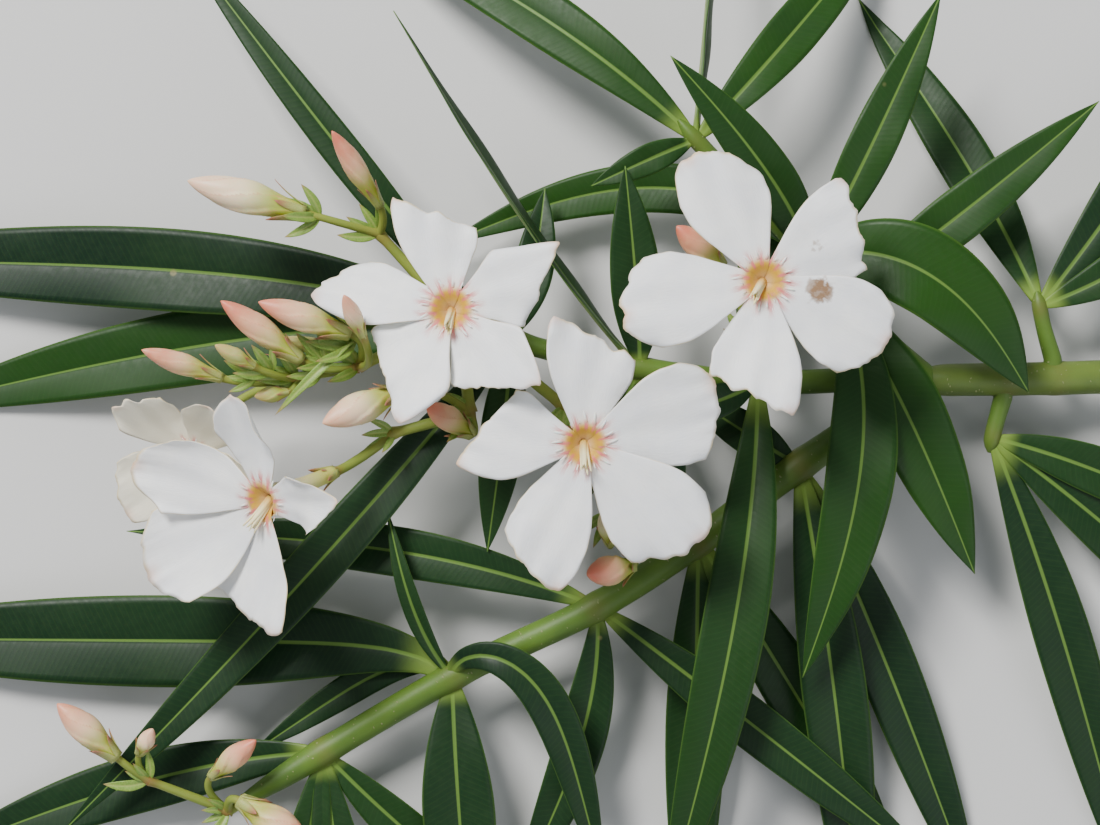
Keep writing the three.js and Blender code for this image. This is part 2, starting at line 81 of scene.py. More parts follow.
soft_light("key_light", (-0.65, 0.88, 1.18), 0.5, 44, (1, 0.985, 0.95))
soft_light("fill_light", (0.9, -0.7, 1), 1.1, 7, (0.95, 0.97, 1))
world = bpy.data.worlds.new("soft_sky")
world.use_nodes = True
sky = world.node_tree.nodes["Background"].inputs
sky["Color"].default_value = (0.9, 0.95, 1, 1)
sky["Strength"].default_value = 0.4
bpy.context.scene.world = world


def node(tree, kind, values=None, **settings):
    """A node with its settings, its values and its links: a value that is a socket is linked."""
    made = tree.nodes.new(kind)
    for name, setting in settings.items():
        setattr(made, name, setting)
    for name, value in (values or {}).items():
        if isinstance(value, bpy.types.NodeSocket):
            tree.links.new(value, made.inputs[name])
        else:
            made.inputs[name].default_value = value
    return made


def finish_of(name, roughness, soft=0, depth=0.5, **values):
    """A material with its shader's own values set, such as how much light goes into it and how
    many millimetres deep, and its tree to add to."""
    made = bpy.data.materials.new(name)
    made.use_nodes = True
    values |= {"Roughness": roughness, "Subsurface Weight": soft, "Subsurface Scale": depth * MM}
    for socket, value in values.items():
        made.node_tree.nodes["Principled BSDF"].inputs[socket.replace("_", " ")].default_value = value
    return made, made.node_tree


def finished(tree, colour, relief=None, height=0, strength=1, **sockets):
    """Links a colour and more to a tree's shader, and a relief with its height in millimetres."""
    shader = tree.nodes["Principled BSDF"]
    if relief is not None:
        bump = node(tree, "ShaderNodeBump",
                    {"Height": relief, "Distance": height * MM, "Strength": strength})
        sockets["Normal"] = bump.outputs["Normal"]
    for socket, value in ({"Base Color": colour} | sockets).items():
        tree.links.new(value, shader.inputs[socket])


def cloudy(tree, scale, detail=2, **where):
    """Noise over the place that Vector gives, or else over the tree's usual one."""
    return node(tree, "ShaderNodeTexNoise", {"Scale": scale, "Detail": detail, **where}).outputs["Fac"]


def attribute(tree, name):
    return node(tree, "ShaderNodeAttribute", attribute_name=name).outputs["Fac"]


def object_place(tree):
    return node(tree, "ShaderNodeTexCoord").outputs["Object"]


def maths(operation, first, second=0):
    tree = (first if isinstance(first, bpy.types.NodeSocket) else second).id_data
    return node(tree, "ShaderNodeMath", {0: first, 1: second}, operation=operation).outputs[0]


def times(first, second):
    return maths("MULTIPLY", first, second)


def plus(first, second):
    return maths("ADD", first, second)


def remap(value, low, high, to_low=0, to_high=1, kind="SMOOTHSTEP"):
    return node(value.id_data, "ShaderNodeMapRange", {
        "Value": value, "From Min": low, "From Max": high, "To Min": to_low, "To Max": to_high,
    }, interpolation_type=kind).outputs["Result"]


def coated(colour, *coats):
    """A colour under coats, each a factor and a colour. A colour is a socket or three numbers."""
    for factor, coat in coats:
        pair = [c if isinstance(c, bpy.types.NodeSocket) else (*c, 1) for c in (colour, coat)]
        colour = node(factor.id_data, "ShaderNodeMix", {0: factor, 6: pair[0], 7: pair[1]},
                      data_type="RGBA").outputs[2]
    return colour


table_top, tree = finish_of("pale_table", 0.85)
finished(tree, remap(cloudy(tree, 9, 6), 0, 1, 0.56, 0.62, "LINEAR"))
floor_mesh = bpy.data.meshes.new("table")
floor_mesh.from_pydata([(x, y, 0) for x, y in ((-1, -1), (1, -1), (1, 1), (-1, 1))], [], [(0, 1, 2, 3)])
floor_mesh.transform(Matrix.Scale(FLOOR_HALF, 4))
floor_mesh.materials.append(table_top)
floor = new_object("table", floor_mesh)


# Shoots
# Green shoots that fork from the main stem. Each runs on one smooth curve, thins from its foot
# to its tip and swells a little where a whorl of leaves sits. The bark is smooth, with fine
# specks and pale pores.
def direction(heading, rise):
    flat = math.cos(math.radians(rise))
    turn = math.radians(heading)
    return Vector((flat * math.cos(turn), flat * math.sin(turn), math.sin(math.radians(rise))))


def lerp(a, b, at):
    return a + (b - a) * at


def bell(offset, width):
    return math.exp(-((offset / width) ** 2))


def angles(sides):
    return [2 * math.pi * j / sides for j in range(sides)]


CURVE_STEPS = 40


class Shoot:
    """A smooth curve through places in millimetres, with its radii and its whorls."""

    def __init__(self, places, radii, whorls=()):
        self.radii = radii
        self.whorls = whorls
        points = [Vector(p) for p in places]
        spread = [2 * points[0] - points[1], *points, 2 * points[-1] - points[-2]]
        self.line = []
        for a, b, c, d in zip(spread, spread[1:], spread[2:], spread[3:]):
            ab, bc, cd = ((q - p).length ** 0.5 for p, q in ((a, b), (b, c), (c, d)))
            leave = ((b - a) / ab - (c - a) / (ab + bc) + (c - b) / bc) * bc
            arrive = ((c - b) / bc - (d - b) / (bc + cd) + (d - c) / cd) * bc
            for i in range(CURVE_STEPS):
                t = i / CURVE_STEPS
                start = b * (2 * t**3 - 3 * t**2 + 1) + leave * (t**3 - 2 * t**2 + t)
                self.line.append(start + c * (3 * t**2 - 2 * t**3) + arrive * (t**3 - t**2))
        self.line.append(points[-1])
        self.runs = [0]
        for p, q in zip(self.line, self.line[1:]):
            self.runs.append(self.runs[-1] + (q - p).length)
        self.length = self.runs[-1]

    def at(self, distance):
        distance = min(max(distance, 0), self.length)
        i = next(k for k in range(1, len(self.runs)) if self.runs[k] >= distance)
        part = (distance - self.runs[i - 1]) / (self.runs[i] - self.runs[i - 1])
        return self.line[i - 1].lerp(self.line[i], part)

    def past_end(self, distance):
        onward = (self.line[-1] - self.line[-4]).normalized()
        return self.line[-1] + onward * distance

    def girth(self, distance):
        plain = lerp(*self.radii, distance / self.length)
        swollen = sum(bell(distance - place, 2.6) for place, _ in self.whorls)
        return plain * (1 + 0.1 * swollen)


# A leaf is its heading at the foot and at the tip, its rise at both, its length and its width,
# and for some the roll about its length and how late it settles. A whorl sits at a distance
# along its shoot.
FORK = (75.4, 6.4, 14)
SHOOTS = {
    "upper": Shoot([FORK, (67.2, 13.3, 15.5), (57.6, 22.2, 17), (51.5, 29.6, 19), (41.1, 40.4, 21),
        (28.1, 53.5, 23), (25, 57, 23.6)], (2.4, 1.5), [
        (24, [(-60, -66, 34, -20, 62, 14.5), (-72, -108, 34, -16, 78, 13.5), (34, 40, 12, 4, 62, 10.5)]),
        (34, [(22, -56, 52, -22, 57, 16.5), (62, 66, 20, 0, 57, 9.5), (114, 133, 52, 6, 52, 9.5),
            (124, 203, -20, -2, 80, 10)]),
        (67, [(136, 150, 4, -24, 94, 11.5), (203, 205, 20, 0, 22, 6), (84, 86, 0, -10, 62, 8, 78),
            (46, 52, 4, -34, 70, 10)]),
    ]),
    "flowering": Shoot([FORK, (63.7, 6.6, 15), (40.9, 6, 16), (17.7, 8.8, 17), (-3.9, 13.3, 17),
        (-11.5, 16.8, 18.2), (-15, 17.6, 20.8)], (2.6, 1.9), [
        (34.5, [(-92, -104, 26, -16, 112, 12.5), (85, 86, -22, -12, 44, 11), (210, 192, 34, 8, 26, 7)]),
        (58, [(133, 121, 18, 8, 84, 8, 76), (92, 96, 34, 4, 40, 10), (-68, -78, 4, -6, 29, 8),
            (-114, -122, -4, -4, 37, 9)]),
        (84, [(231, 225, 4, -9, 134, 10.2, 0, 1.3), (266, 262, -2, -4, 42, 9), (66, 84, 4, -12, 30, 8)]),
        (90, [(162, 179, -4, -9, 152, 16.5, 0, 3), (178, 193, -12, -8, 125, 15.5),
            (131, 127, 14, -8, 98, 7.5)]),
    ]),
    "lower": Shoot([FORK, (49.6, -10.4, 14), (29.7, -25.3, 14), (9.9, -38.2, 13.5), (-18.9, -52.2, 12.5),
        (-43.9, -66.9, 11), (-60.8, -77.3, 11)], (3.1, 2.6), [
        (31, [(-64, -69, -6, -10, 103, 12), (-80, -83, 5, -15, 107, 13), (150, 146, 8, -10, 26, 8)]),
        (56, [(-90, -91, -12, -9, 90, 12), (-56, -60, -6, -12, 86, 12), (128, 136, 0, 0, 26, 8)]),
        (80, [(-36, -39, 8, -8, 90, 10), (-86, -116, -10, -10, 64, 10), (157, 178.5, 2, -8, 96, 10)]),
        (112, [(128, 102, 30, -6, 36, 4), (-88, -85, 10, -14, 64, 14.5),
            (88, -76, 60, -18, 68, 8.5, 0, 4.5), (140, 180, -2, -5, 138, 18.5, 0, 14),
            (140, 214, -20, -4, 46, 6.5, 0, 5)]),
        (142, [(262, 256, 4, -6, 62, 10), (-84, -76, 4, -8, 66, 11), (184, 202, -12, -4, 88, 12),
            (-46, -40, 0, -10, 56, 9)]),
    ]),
    "right": Shoot([(100, 10.6, 12.4), (98, 17, 13.4), (96.5, 24, 14.2)], (1.8, 1.3), [
        (11, [(52, 56, 6, -18, 78, 11), (112, 122, -6, -15, 73, 11), (20, 40, 10, -10, 62, 10)]),
    ]),
    "under": Shoot([(90, 2.7, 12.5), (88.5, -3, 12), (87.5, -8, 11.5)], (1.9, 1.4), [
        (8, [(-36, -42, 4, -15, 85, 12), (-68, -74, 0, -11, 104, 11.5), (-14, -26, 8, -10, 58, 10)]),
    ]),
}


def place(point):
    """From millimetres about the middle of the picture to the branch's own frame."""
    return Vector(point) * MM + MIDDLE


def add_piece(name, mesh, slot, *solids):
    """A finished piece that rides on the branch and stands for its solids. Its slot is not used."""
    made = new_object(name, mesh)
    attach(made, "root")
    if solids:
        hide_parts(*solids)


def threads(lines):
    """A mesh of plain lines. Each line is a list of point, girth and blush, all in millimetres."""
    mesh = bpy.data.meshes.new("threads")
    spots, edges = [], []
    for line in lines:
        edges += [(i, i + 1) for i in range(len(spots), len(spots) + len(line) - 1)]
        spots += line
    mesh.from_pydata([place(spot[0]) for spot in spots], edges, [])
    girths, blushes = [spot[1] * MM for spot in spots], [spot[2] for spot in spots]
    for name, numbers in (("girth", girths), ("blush", blushes)):
        mesh.attributes.new(name, "FLOAT", "POINT").data.foreach_set("value", numbers)
    return mesh


def new_tree(name, **inputs):
    """A Geometry Nodes tree with named inputs after its geometry, and their sockets."""
    made = bpy.data.node_groups.new(name, "GeometryNodeTree")
    made.interface.new_socket("Geometry", in_out="INPUT", socket_type="NodeSocketGeometry")
    for socket, value in inputs.items():
        kind = "NodeSocketInt" if isinstance(value, int) else "NodeSocketFloat"
        made.interface.new_socket(socket, in_out="INPUT", socket_type=kind).default_value = value
    made.interface.new_socket("Geometry", in_out="OUTPUT", socket_type="NodeSocketGeometry")
    return made, made.nodes.new("NodeGroupInput").outputs


def adder(tree):
    """A function that adds a geometry node to the tree and gives its outputs."""
    return lambda kind, values=None, **more: node(tree, "GeometryNode" + kind, values, **more).outputs


def ended(tree, geometry):
    tree.links.new(geometry, tree.nodes.new("NodeGroupOutput").inputs[0])
    return tree


def grow(name, source, tree, **values):
    """The plain mesh that a tree makes from a source mesh, with the tree's named inputs set."""
    holder = new_object(name, source)
    modifier = holder.modifiers.new("grow", "NODES")
    modifier.node_group = tree
    for item in tree.interface.items_tree:
        if item.in_out == "INPUT" and item.name in values:
            modifier[item.identifier] = values[item.name]
    bpy.context.view_layer.update()
    seen = holder.evaluated_get(bpy.context.evaluated_depsgraph_get())
    made = bpy.data.meshes.new_from_object(seen)
    bpy.data.objects.remove(holder)
    made.name = name
    made.shade_smooth()
    return made


BARK_RELIEF = 0.09 * MM
PORE_RADIUS = 0.16 * MM


def bark_tree(name, skin, pore):
    """Bark drawn over threads of a given girth, with low relief and pores."""
    tree, given = new_tree(name, step=1.1 * MM, sides=16, pores=90000.0, seed=3)
    add = adder(tree)
    curve = add("MeshToCurve", {"Mesh": given["Geometry"]})[0]
    girth = add("InputNamedAttribute", {"Name": "girth"}, data_type="FLOAT")["Attribute"]
    fine = add("ResampleCurve", {"Curve": curve, "Length": given["step"]}, mode="LENGTH")[0]
    ring = add("CurvePrimitiveCircle", {"Resolution": given["sides"], "Radius": 1})[0]
    tube = add("CurveToMesh", {"Curve": fine, "Profile Curve": ring, "Scale": girth, "Fill Caps": True})[0]
    relief = times(maths("SUBTRACT", cloudy(tree, 420, 3), 0.5), BARK_RELIEF)
    push = node(tree, "ShaderNodeVectorMath", {0: add("InputNormal")[0], "Scale": relief},
                operation="SCALE")
    bark = add("SetPosition", {"Geometry": tube, "Offset": push.outputs[0]})[0]
    dots = add("DistributePointsOnFaces", {"Mesh": bark, "Density": given["pores"], "Seed": given["seed"]})
    grain = add("MeshIcoSphere", {"Radius": PORE_RADIUS, "Subdivisions": 2})[0]
    spread = node(tree, "FunctionNodeRandomValue",
                  {"Min": (0.5, 0.5, 0.25), "Max": (1.1, 1.9, 0.4), "Seed": given["seed"]},
                  data_type="FLOAT_VECTOR")
    pores = add("InstanceOnPoints", {"Points": dots["Points"], "Instance": grain,
                                     "Rotation": dots["Rotation"], "Scale": spread.outputs["Value"]})[0]
    both = tree.nodes.new("GeometryNodeJoinGeometry")
    for part, material in ((add("RealizeInstances", {"Geometry": pores})[0], pore), (bark, skin)):
        painted = add("SetMaterial", {"Geometry": part, "Material": material})[0]
        tree.links.new(painted, both.inputs[0])
    return ended(tree, both.outputs[0])


def bark_finish(name, base, streak, blush):
    """Green bark with cloudy patches, fine specks, and a red-brown blush at the joints."""
    made, tree = finish_of(name, 0.5, 0.06, 0.6, Specular_IOR_Level=0.35)
    coords = object_place(tree)
    cloud = cloudy(tree, 90, 5, Vector=coords)
    fine = cloudy(tree, 1400, 2, Vector=coords)
    warm = times(attribute(tree, "blush"), remap(cloud, 0.35, 0.6, 0.25, 1))
    specks = remap(fine, 0.62, 0.75, 0, 0.35)
    coat = coated(base, (remap(cloud, 0.38, 0.68), streak), (specks, streak), (warm, blush))
    finished(tree, coat, fine, 0.05, 0.6)
    return made


stem_bark = bark_finish("stem_bark", (0.115, 0.175, 0.028), (0.085, 0.135, 0.025), (0.16, 0.11, 0.04))
shoot_bark = bark_finish("shoot_bark", (0.09, 0.17, 0.02), (0.065, 0.13, 0.018), (0.16, 0.13, 0.035))
pore_cork, tree = finish_of("pore_cork", 0.8)
finished(tree, coated((0.26, 0.28, 0.12), (cloudy(tree, 900), (0.16, 0.19, 0.07))))

stem_tree = bark_tree("stem_bark_over_threads", stem_bark, pore_cork)
shoot_tree = bark_tree("shoot_bark_over_threads", shoot_bark, pore_cork)


def add_bark(name, lines, tree, slot, *solids, **values):
    add_piece(name, grow(name, threads(lines), tree, **values), slot, *solids)


THREAD_STEP = 1.2
# How much a shoot thins past its last whorl. One that carries stalks stays as thick as they are.
TIP_TAPER = {"upper": 0.75, "flowering": 0, "lower": 0.5, "right": 0.75, "under": 0.75}
SIDE_SEATS = {"right": (100, 7.4, 11.9), "under": (90, 6, 12.7)}  # inside the main stem
for name, shoot in SHOOTS.items():
    count = math.ceil(shoot.length / THREAD_STEP)
    last = shoot.whorls[-1][0]
    line = []
    for i in range(count + 1):
        distance = shoot.length * i / count
        near = sum(bell(distance - p, 2.2) for p, _ in shoot.whorls)
        beyond = max(0, distance - last - 0.5) / (shoot.length - last - 0.5)
        tip = 1 - TIP_TAPER[name] * beyond**2
        line.append((shoot.at(distance), shoot.girth(distance) * tip, min(0.5 * near, 1)))
    if name in SIDE_SEATS:
        line.insert(0, (Vector(SIDE_SEATS[name]), 1.25 * shoot.radii[0], 0.3))
    solids = [] if name in SIDE_SEATS else ["bough_" + name]
    add_bark("bark_" + name, [line], shoot_tree, "shoot", *solids, seed=len(name))

# Main stem
# The oldest wood of the branch: a round green stem that tapers from its cut to the fork,
# thickest at the cut, with small leaf scars. The cut was made square across the stem.
STEM_PLACES = [(158, 8, 3.6), (126, 7.6, 8), (100, 6.8, 11.8), FORK]
STEM_RADII = (3.6, 3.2)
SCARS = (58, 68, 28)  # along the stem
stem = Shoot(STEM_PLACES, STEM_RADII)
line = []
STEM_STEPS = 80
for i in range(STEM_STEPS + 1):
    distance = stem.length * i / STEM_STEPS
    near = sum(bell(distance - p, 1.6) for p in SCARS)
    radius = lerp(*STEM_RADII, distance / stem.length) * (1 + 0.06 * near)
    tuck = max(0, 1 - (stem.length - distance) / 4) ** 2
    line.append((stem.at(distance), radius * (1 - 0.14 * tuck), min(0.45 * near, 1) * (1 - tuck)))
add_bark("bark_main", [line], stem_tree, "stem", "main_stem", seed=11)

cut_wood, tree = finish_of("cut_wood", 0.75)
grain = cloudy(tree, 900, 4)
ring = plus(attribute(tree, "inner"), times(grain, 0.12))
finished(tree, coated(
    (0.5, 0.46, 0.28),
    (remap(ring, 0.26, 0.34), (0.66, 0.6, 0.36)),
    (remap(ring, 0.86, 0.93), (0.24, 0.34, 0.1)),
), grain, 0.08)
facing = (stem.at(0) - stem.at(0.5)).normalized()
turn = facing.to_track_quat("Z", "Y")
disc = bmesh.new()
inner_layer = disc.verts.layers.float.new("inner")
CUT_RINGS = 7
CUT_SIDES = 32
CUT_RISE = 0.12  # over the end of the bark, less at its worn edge
hub = disc.verts.new(place(stem.at(0) + facing * CUT_RISE))
circles = []
for i in range(1, CUT_RINGS + 1):
    part = i / CUT_RINGS
    rise = CUT_RISE - 0.1 * max(0, part - 0.85) / 0.15
    circle = []
    for angle in angles(CUT_SIDES):
        across = turn @ Vector((math.cos(angle), math.sin(angle), 0)) * (STEM_RADII[0] * 0.99 * part)
        vertex = disc.verts.new(place(stem.at(0) + across + facing * rise))
        vertex[inner_layer] = part
        circle.append(vertex)
    circles.append(circle)
for j in range(CUT_SIDES):
    k = (j + 1) % CUT_SIDES
    disc.faces.new((hub, circles[0][j], circles[0][k]))
    for low, high in zip(circles, circles[1:]):
        disc.faces.new((low[j], high[j], high[k], low[k]))
disc.faces.new(list(reversed(circles[-1])))
bmesh.ops.recalc_face_normals(disc, faces=disc.faces)
cut_mesh = bpy.data.meshes.new("cut_face")
disc.to_mesh(cut_mesh)
disc.free()
cut_mesh.materials.append(cut_wood)
add_piece("cut_face", cut_mesh, "stem")

# Leaves
# Long leathery leaves in whorls of three or four: dark and glossy above, grey green below, with
# a pale midrib that is sunk above and stands out below, fine side veins and a thin pale margin.
# Each leaves the shoot at one heading and rise and settles to another.
LEAF_SLENDER = 95  # length over the thickness that lies on the table
LEAF_THIN = 1.2  # the least of that
LEAF_FOLD = 0.14
PETIOLE = 0.17  # width at the foot, as a part of the whole
LEAF_WIDEST = 0.42  # part of the length
LEAF_ROOT = 0.8  # from the middle of the shoot
LEAF_SKIN = 0.42  # a real blade's thickness
ROWS = 60
COLUMNS = 14


def blade_width(at):
    if at > LEAF_WIDEST:
        return 1 - ((at - LEAF_WIDEST) / (1 - LEAF_WIDEST)) ** 2
    return 1 - (1 - PETIOLE) * (1 - at / LEAF_WIDEST) ** 1.9


def leaf_path(foot, heading, end_heading, rise, end_rise, length, width, roll, settling):
    """Points along a leaf's middle, kept up on the table where it would sink through."""
    steps = 40
    thickness = max(LEAF_THIN, length / LEAF_SLENDER)
    lowest = thickness / 2 + width / 2 * abs(math.sin(math.radians(roll)))
    path = [foot.copy()]
    for i in range(steps):
        settle = (1 - (i + 0.5) / steps) ** settling
        way = direction(lerp(end_heading, heading, settle), lerp(end_rise, rise, settle))
        onward = path[-1] + way * (length / steps)
        onward.z = max(onward.z, lowest)
        path.append(onward)
    return path


def to_mesh(made, name, *materials):
    mesh = bpy.data.meshes.new(name)
    made.to_mesh(mesh)
    made.free()
    for material in materials:
        mesh.materials.append(material)
    mesh.shade_smooth()
    return mesh


class Sheets:
    """Closed two-sided sheets gathered into one mesh, with named values at each point."""

    def __init__(self, *names):
        self.points, self.faces = [], []
        self.values = {name: [] for name in names}

    def add(self, grid):
        """A grid of pairs of points, one on each side, each pair with its values."""
        rows, columns = len(grid), len(grid[0])
        start = len(self.points)
        under = start + rows * columns
        for side in (0, 1):
            for spot in (spot for row in grid for spot in row):
                self.points.append(place(spot[side]))
                for name, numbers in self.values.items():
                    numbers.append(side if name == "under" else spot[2][name])

        def at(i, j):
            return start + i * columns + j

        for i in range(rows - 1):
            for j in range(columns - 1):
                a, b, c, d = at(i, j), at(i + 1, j), at(i + 1, j + 1), at(i, j + 1)
                self.faces.append((a, b, c, d))
                self.faces.append(tuple(k - start + under for k in (d, c, b, a)))
        rim = [at(i, 0) for i in range(rows - 1)] + [at(rows - 1, j) for j in range(columns - 1)]
        rim += [at(i, columns - 1) for i in range(rows - 1, 0, -1)]
        rim += [at(0, j) for j in range(columns - 1, 0, -1)]
        for k, a in enumerate(rim):
            b = rim[(k + 1) % len(rim)]
            self.faces.append((a, a - start + under, b - start + under, b))

    def mesh(self, name, material):
        made = bpy.data.meshes.new("sheets")
        made.from_pydata(self.points, [], self.faces)
        for value, numbers in self.values.items():
            made.attributes.new(value, "FLOAT", "POINT").data.foreach_set("value", numbers)
        sheet = bmesh.new()
        sheet.from_mesh(made)
        bmesh.ops.recalc_face_normals(sheet, faces=sheet.faces)
        return to_mesh(sheet, name, material)


LEAF_VALUES = ("across", "off", "run", "under", "tone", "reach")


def add_leaf(sheets, foot, seed, tone, heading, end_heading, rise, end_rise, length, width,
             roll=0, settling=2):
    path = leaf_path(foot, heading, end_heading, rise, end_rise, length, width, roll, settling)
    luck = random.Random(seed)
    phase, waves = luck.uniform(0, 6.3), luck.uniform(2.2, 3.6)
    ripple, lean = luck.uniform(0.03, 0.07), luck.uniform(-0.04, 0.04)
    grid = []
    for i in range(ROWS + 1):
        at = i / ROWS
        step = at * (len(path) - 1)
        k = min(int(step), len(path) - 2)
        centre = path[k].lerp(path[k + 1], step - k)
        along = (path[min(k + 2, len(path) - 1)] - path[max(k - 1, 0)]).normalized()
        level = direction(lerp(end_heading, heading, (1 - at) ** settling) + 90, 0)
        upright = along.cross(level).normalized()
        angle = math.radians(roll) + lean * math.sin(3 * at)
        side = level * math.cos(angle) + upright * math.sin(angle)
        face = along.cross(side)
        half = width / 2 * max(blade_width(at), 0.012)
        stalky = max(0, 1 - at / 0.09)
        skin = LEAF_SKIN * (1 - 0.5 * at) + 0.9 * stalky
        rib = 0.65 * (1 - at) ** 0.7 * min(1, half / 2)
        fold = LEAF_FOLD * min(1, at * 5)
        grid.append([])
        for j in range(COLUMNS + 1):
            part = 2 * j / COLUMNS - 1
            across = math.copysign(abs(part) ** 1.35, part)
            off = abs(across) * half
            near = bell(off, 0.55)
            swing = math.sin(waves * 6.3 * at + phase + (2 if across > 0 else 0))
            wave = ripple * half * swing * across**2
            cup = fold * half * (1.5 * abs(across) - 0.5 * across**2)
            flat = centre + side * (across * half) + face * (cup + wave * min(1, 4 * at))
            thin = skin * (1 - 0.45 * across**4)
            top = flat + face * (thin / 2 - 0.16 * near * (1 - at) * (1 - stalky))
            back = flat - face * (thin / 2 + rib * near)
            run = at * length - 0.5 * off
            grid[-1].append((top, back, {"across": abs(across), "off": off, "run": run,
                                         "tone": tone, "reach": at}))
    sheets.add(grid)


leaf_skin, tree = finish_of("leaf_skin", 0.5, 0.05, 0.4, Specular_IOR_Level=0.2)
coords = object_place(tree)
across, off, run, under, tone, reach = (attribute(tree, name) for name in LEAF_VALUES)
cloud = cloudy(tree, 55, 4, Vector=coords)
mottle = cloudy(tree, 700, 3, Vector=coords)
vein_line = maths("SINE", times(plus(run, times(cloud, 2.2)), 5.2))
vein = remap(vein_line, 0.55, 1)
top_side = coated(
    (0.005, 0.018, 0.009),
    (tone, (0.014, 0.056, 0.005)),
    (remap(cloud, 0.35, 0.7, 0, 0.45), (0.011, 0.036, 0.01)),
    (remap(mottle, 0.4, 0.7, 0, 0.1), (0.022, 0.056, 0.015)),
    (times(vein, 0.09), (0.036, 0.09, 0.018)),
)
back_side = coated(
    (0.095, 0.15, 0.075),
    (remap(cloud, 0.3, 0.7), (0.14, 0.2, 0.105)),
    (times(vein, 0.25), (0.07, 0.125, 0.05)),
)
rib_edge = plus(remap(reach, 0, 1, 0.46, 0.15), times(under, 0.25))
rib = remap(maths("DIVIDE", off, rib_edge), 0.55, 1.1, 1, 0)
speck = node(tree, "ShaderNodeTexVoronoi", {"Vector": coords, "Scale": 95}).outputs["Distance"]
colour = coated(
    top_side,
    (under, back_side),
    (times(rib, 0.8), coated((0.12, 0.22, 0.04), (under, (0.26, 0.34, 0.13)))),
    (remap(across, 0.93, 0.99, 0, 0.5), (0.07, 0.15, 0.022)),
    (remap(reach, 0.02, 0.09, 0.8, 0), (0.2, 0.31, 0.05)),
    (times(remap(speck, 0.05, 0.09, 0.6, 0), remap(cloud, 0.52, 0.62)), (0.22, 0.2, 0.08)),
)
dullness = plus(times(under, 0.28), remap(mottle, 0.3, 0.7, 0.42, 0.5))
relief = plus(times(vein_line, 0.12), times(mottle, 0.2))
finished(tree, colour, relief, 0.05, 0.5, Roughness=dullness)

# How fresh the leaves of each shoot look, and three that differ from their own.
FRESH = {"upper": 0.85, "flowering": 0.4, "lower": 0.32, "right": 0.35, "under": 0.3}
ODD_LEAVES = {"flowering 4 0": 0.05, "flowering 4 1": 0.8, "lower 4 3": 0.15}
for name, shoot in SHOOTS.items():
    for number, (distance, leaves) in enumerate(shoot.whorls, 1):
        sheets = Sheets(*LEAF_VALUES)
        for count, leaf in enumerate(leaves):
            foot = shoot.at(distance) + direction(leaf[0], leaf[2]) * LEAF_ROOT
            seed = f"{name} {number} {count}"
            tone = ODD_LEAVES.get(seed, FRESH[name] + random.Random(seed).uniform(-0.22, 0.22))
            add_leaf(sheets, foot, seed, tone, *leaf)
        piece = f"blades_{name}_{number}"
        add_piece(piece, sheets.mesh(piece, leaf_skin), "leaf", f"leaves_{name}_{number}")

# Flower stalks
# Slim green stalks that branch from the tip of the flowering shoot and carry the blooms and
# buds. They are yellow green, redden at the joints, and have a small pointed bract at each.
SEAT = 0.5  # a stalk's tip stands this far inside what it carries
TUBE_LENGTH = 20
Bloom = namedtuple("Bloom", "centre way size plume petals foot")
Bud = namedtuple("Bud", "foot way length radius ripe")


def bloom_of(centre, heading, tilt, size, plume, petals):
    """A bloom from its mouth, the heading and tilt of its face, its size, the way its hairs lean
    and its petals. A petal is its turn about the bloom, its reach and width, how far its end curls
    up, where the drawn-out corner lies, how far the other corner falls short and how round the
    end is."""
    centre = Vector(centre)
    way = direction(heading, 90 - tilt)
    return Bloom(centre, way, size, plume, petals, centre - way * (TUBE_LENGTH * size))


BLOOMS = [
    bloom_of((-18.6, 19.4, 46), 120, 9, 1, 268, [
        (20, 23.6, 15, 0, 0.58, 0.4, 1), (101, 22.9, 15, 1, 0.9, 0.55, 0.85),
        (168, 26.6, 12.5, -2, 0.4, 0.6, 1.5), (232, 23.2, 19, 0, 0.64, 0.43, 1),
        (307, 22.4, 16.4, 1, 0.55, 0.45, 1)]),
    bloom_of((39.9, 24.6, 47), 40, 6, 1, 236, [
        (33, 22.8, 17.5, 1, 0.92, 0.72, 1.2), (115, 26.6, 17, 0, 0.42, 0.66, 2.6),
        (191, 27.4, 17.5, -1, 0.2, 0.72, 2.2), (264, 24.8, 17, 1, 0.85, 0.7, 1),
        (332, 25.7, 17.2, 0, 0.1, 0.74, 2.4)]),
    bloom_of((6.5, -6, 43.6), 300, 7, 1, 267, [
        (17, 26.6, 19.2, 0, 0.4, 0.76, 2.2), (86, 23.7, 17, -1, 0.88, 0.62, 1.1),
        (173, 23.4, 17, -1, 0.78, 0.5, 1.2), (248, 27.6, 15.6, 1, 0.7, 0.7, 2),
        (315, 28.5, 19.4, 0, 0.3, 0.76, 2)]),
    bloom_of((-54.1, -16.9, 44), 203, 44, 1, 255, [
        (87, 22.5, 9, 5, 0.1, 0.6, 1.5), (165, 26.5, 15, 8, 0, 0.65, 1.8),
        (210, 28.5, 19, 9.5, 0.1, 0.7, 2), (257, 22.8, 22, 4, 0.8, 0.85, 2),
        (368, 24, 11.5, 3.5, 0.1, 0.42, 1.2)]),
    bloom_of((-68.9, -8.3, 29), 240, 39, 0.72, 200, [
        (128, 24, 17, 5, 0.4, 0.7, 2), (214, 27.5, 19, 5, 0.4, 0.7, 2), (282, 22, 17, 5, 0.4, 0.7, 2),
        (345, 20, 15, 5, 0.4, 0.7, 2), (414, 22.5, 17, 5, 0.4, 0.7, 2)]),
]


def bud_of(foot, heading, rise, length, radius, ripe):
    return Bud(Vector(foot), direction(heading, rise), length, radius, ripe)


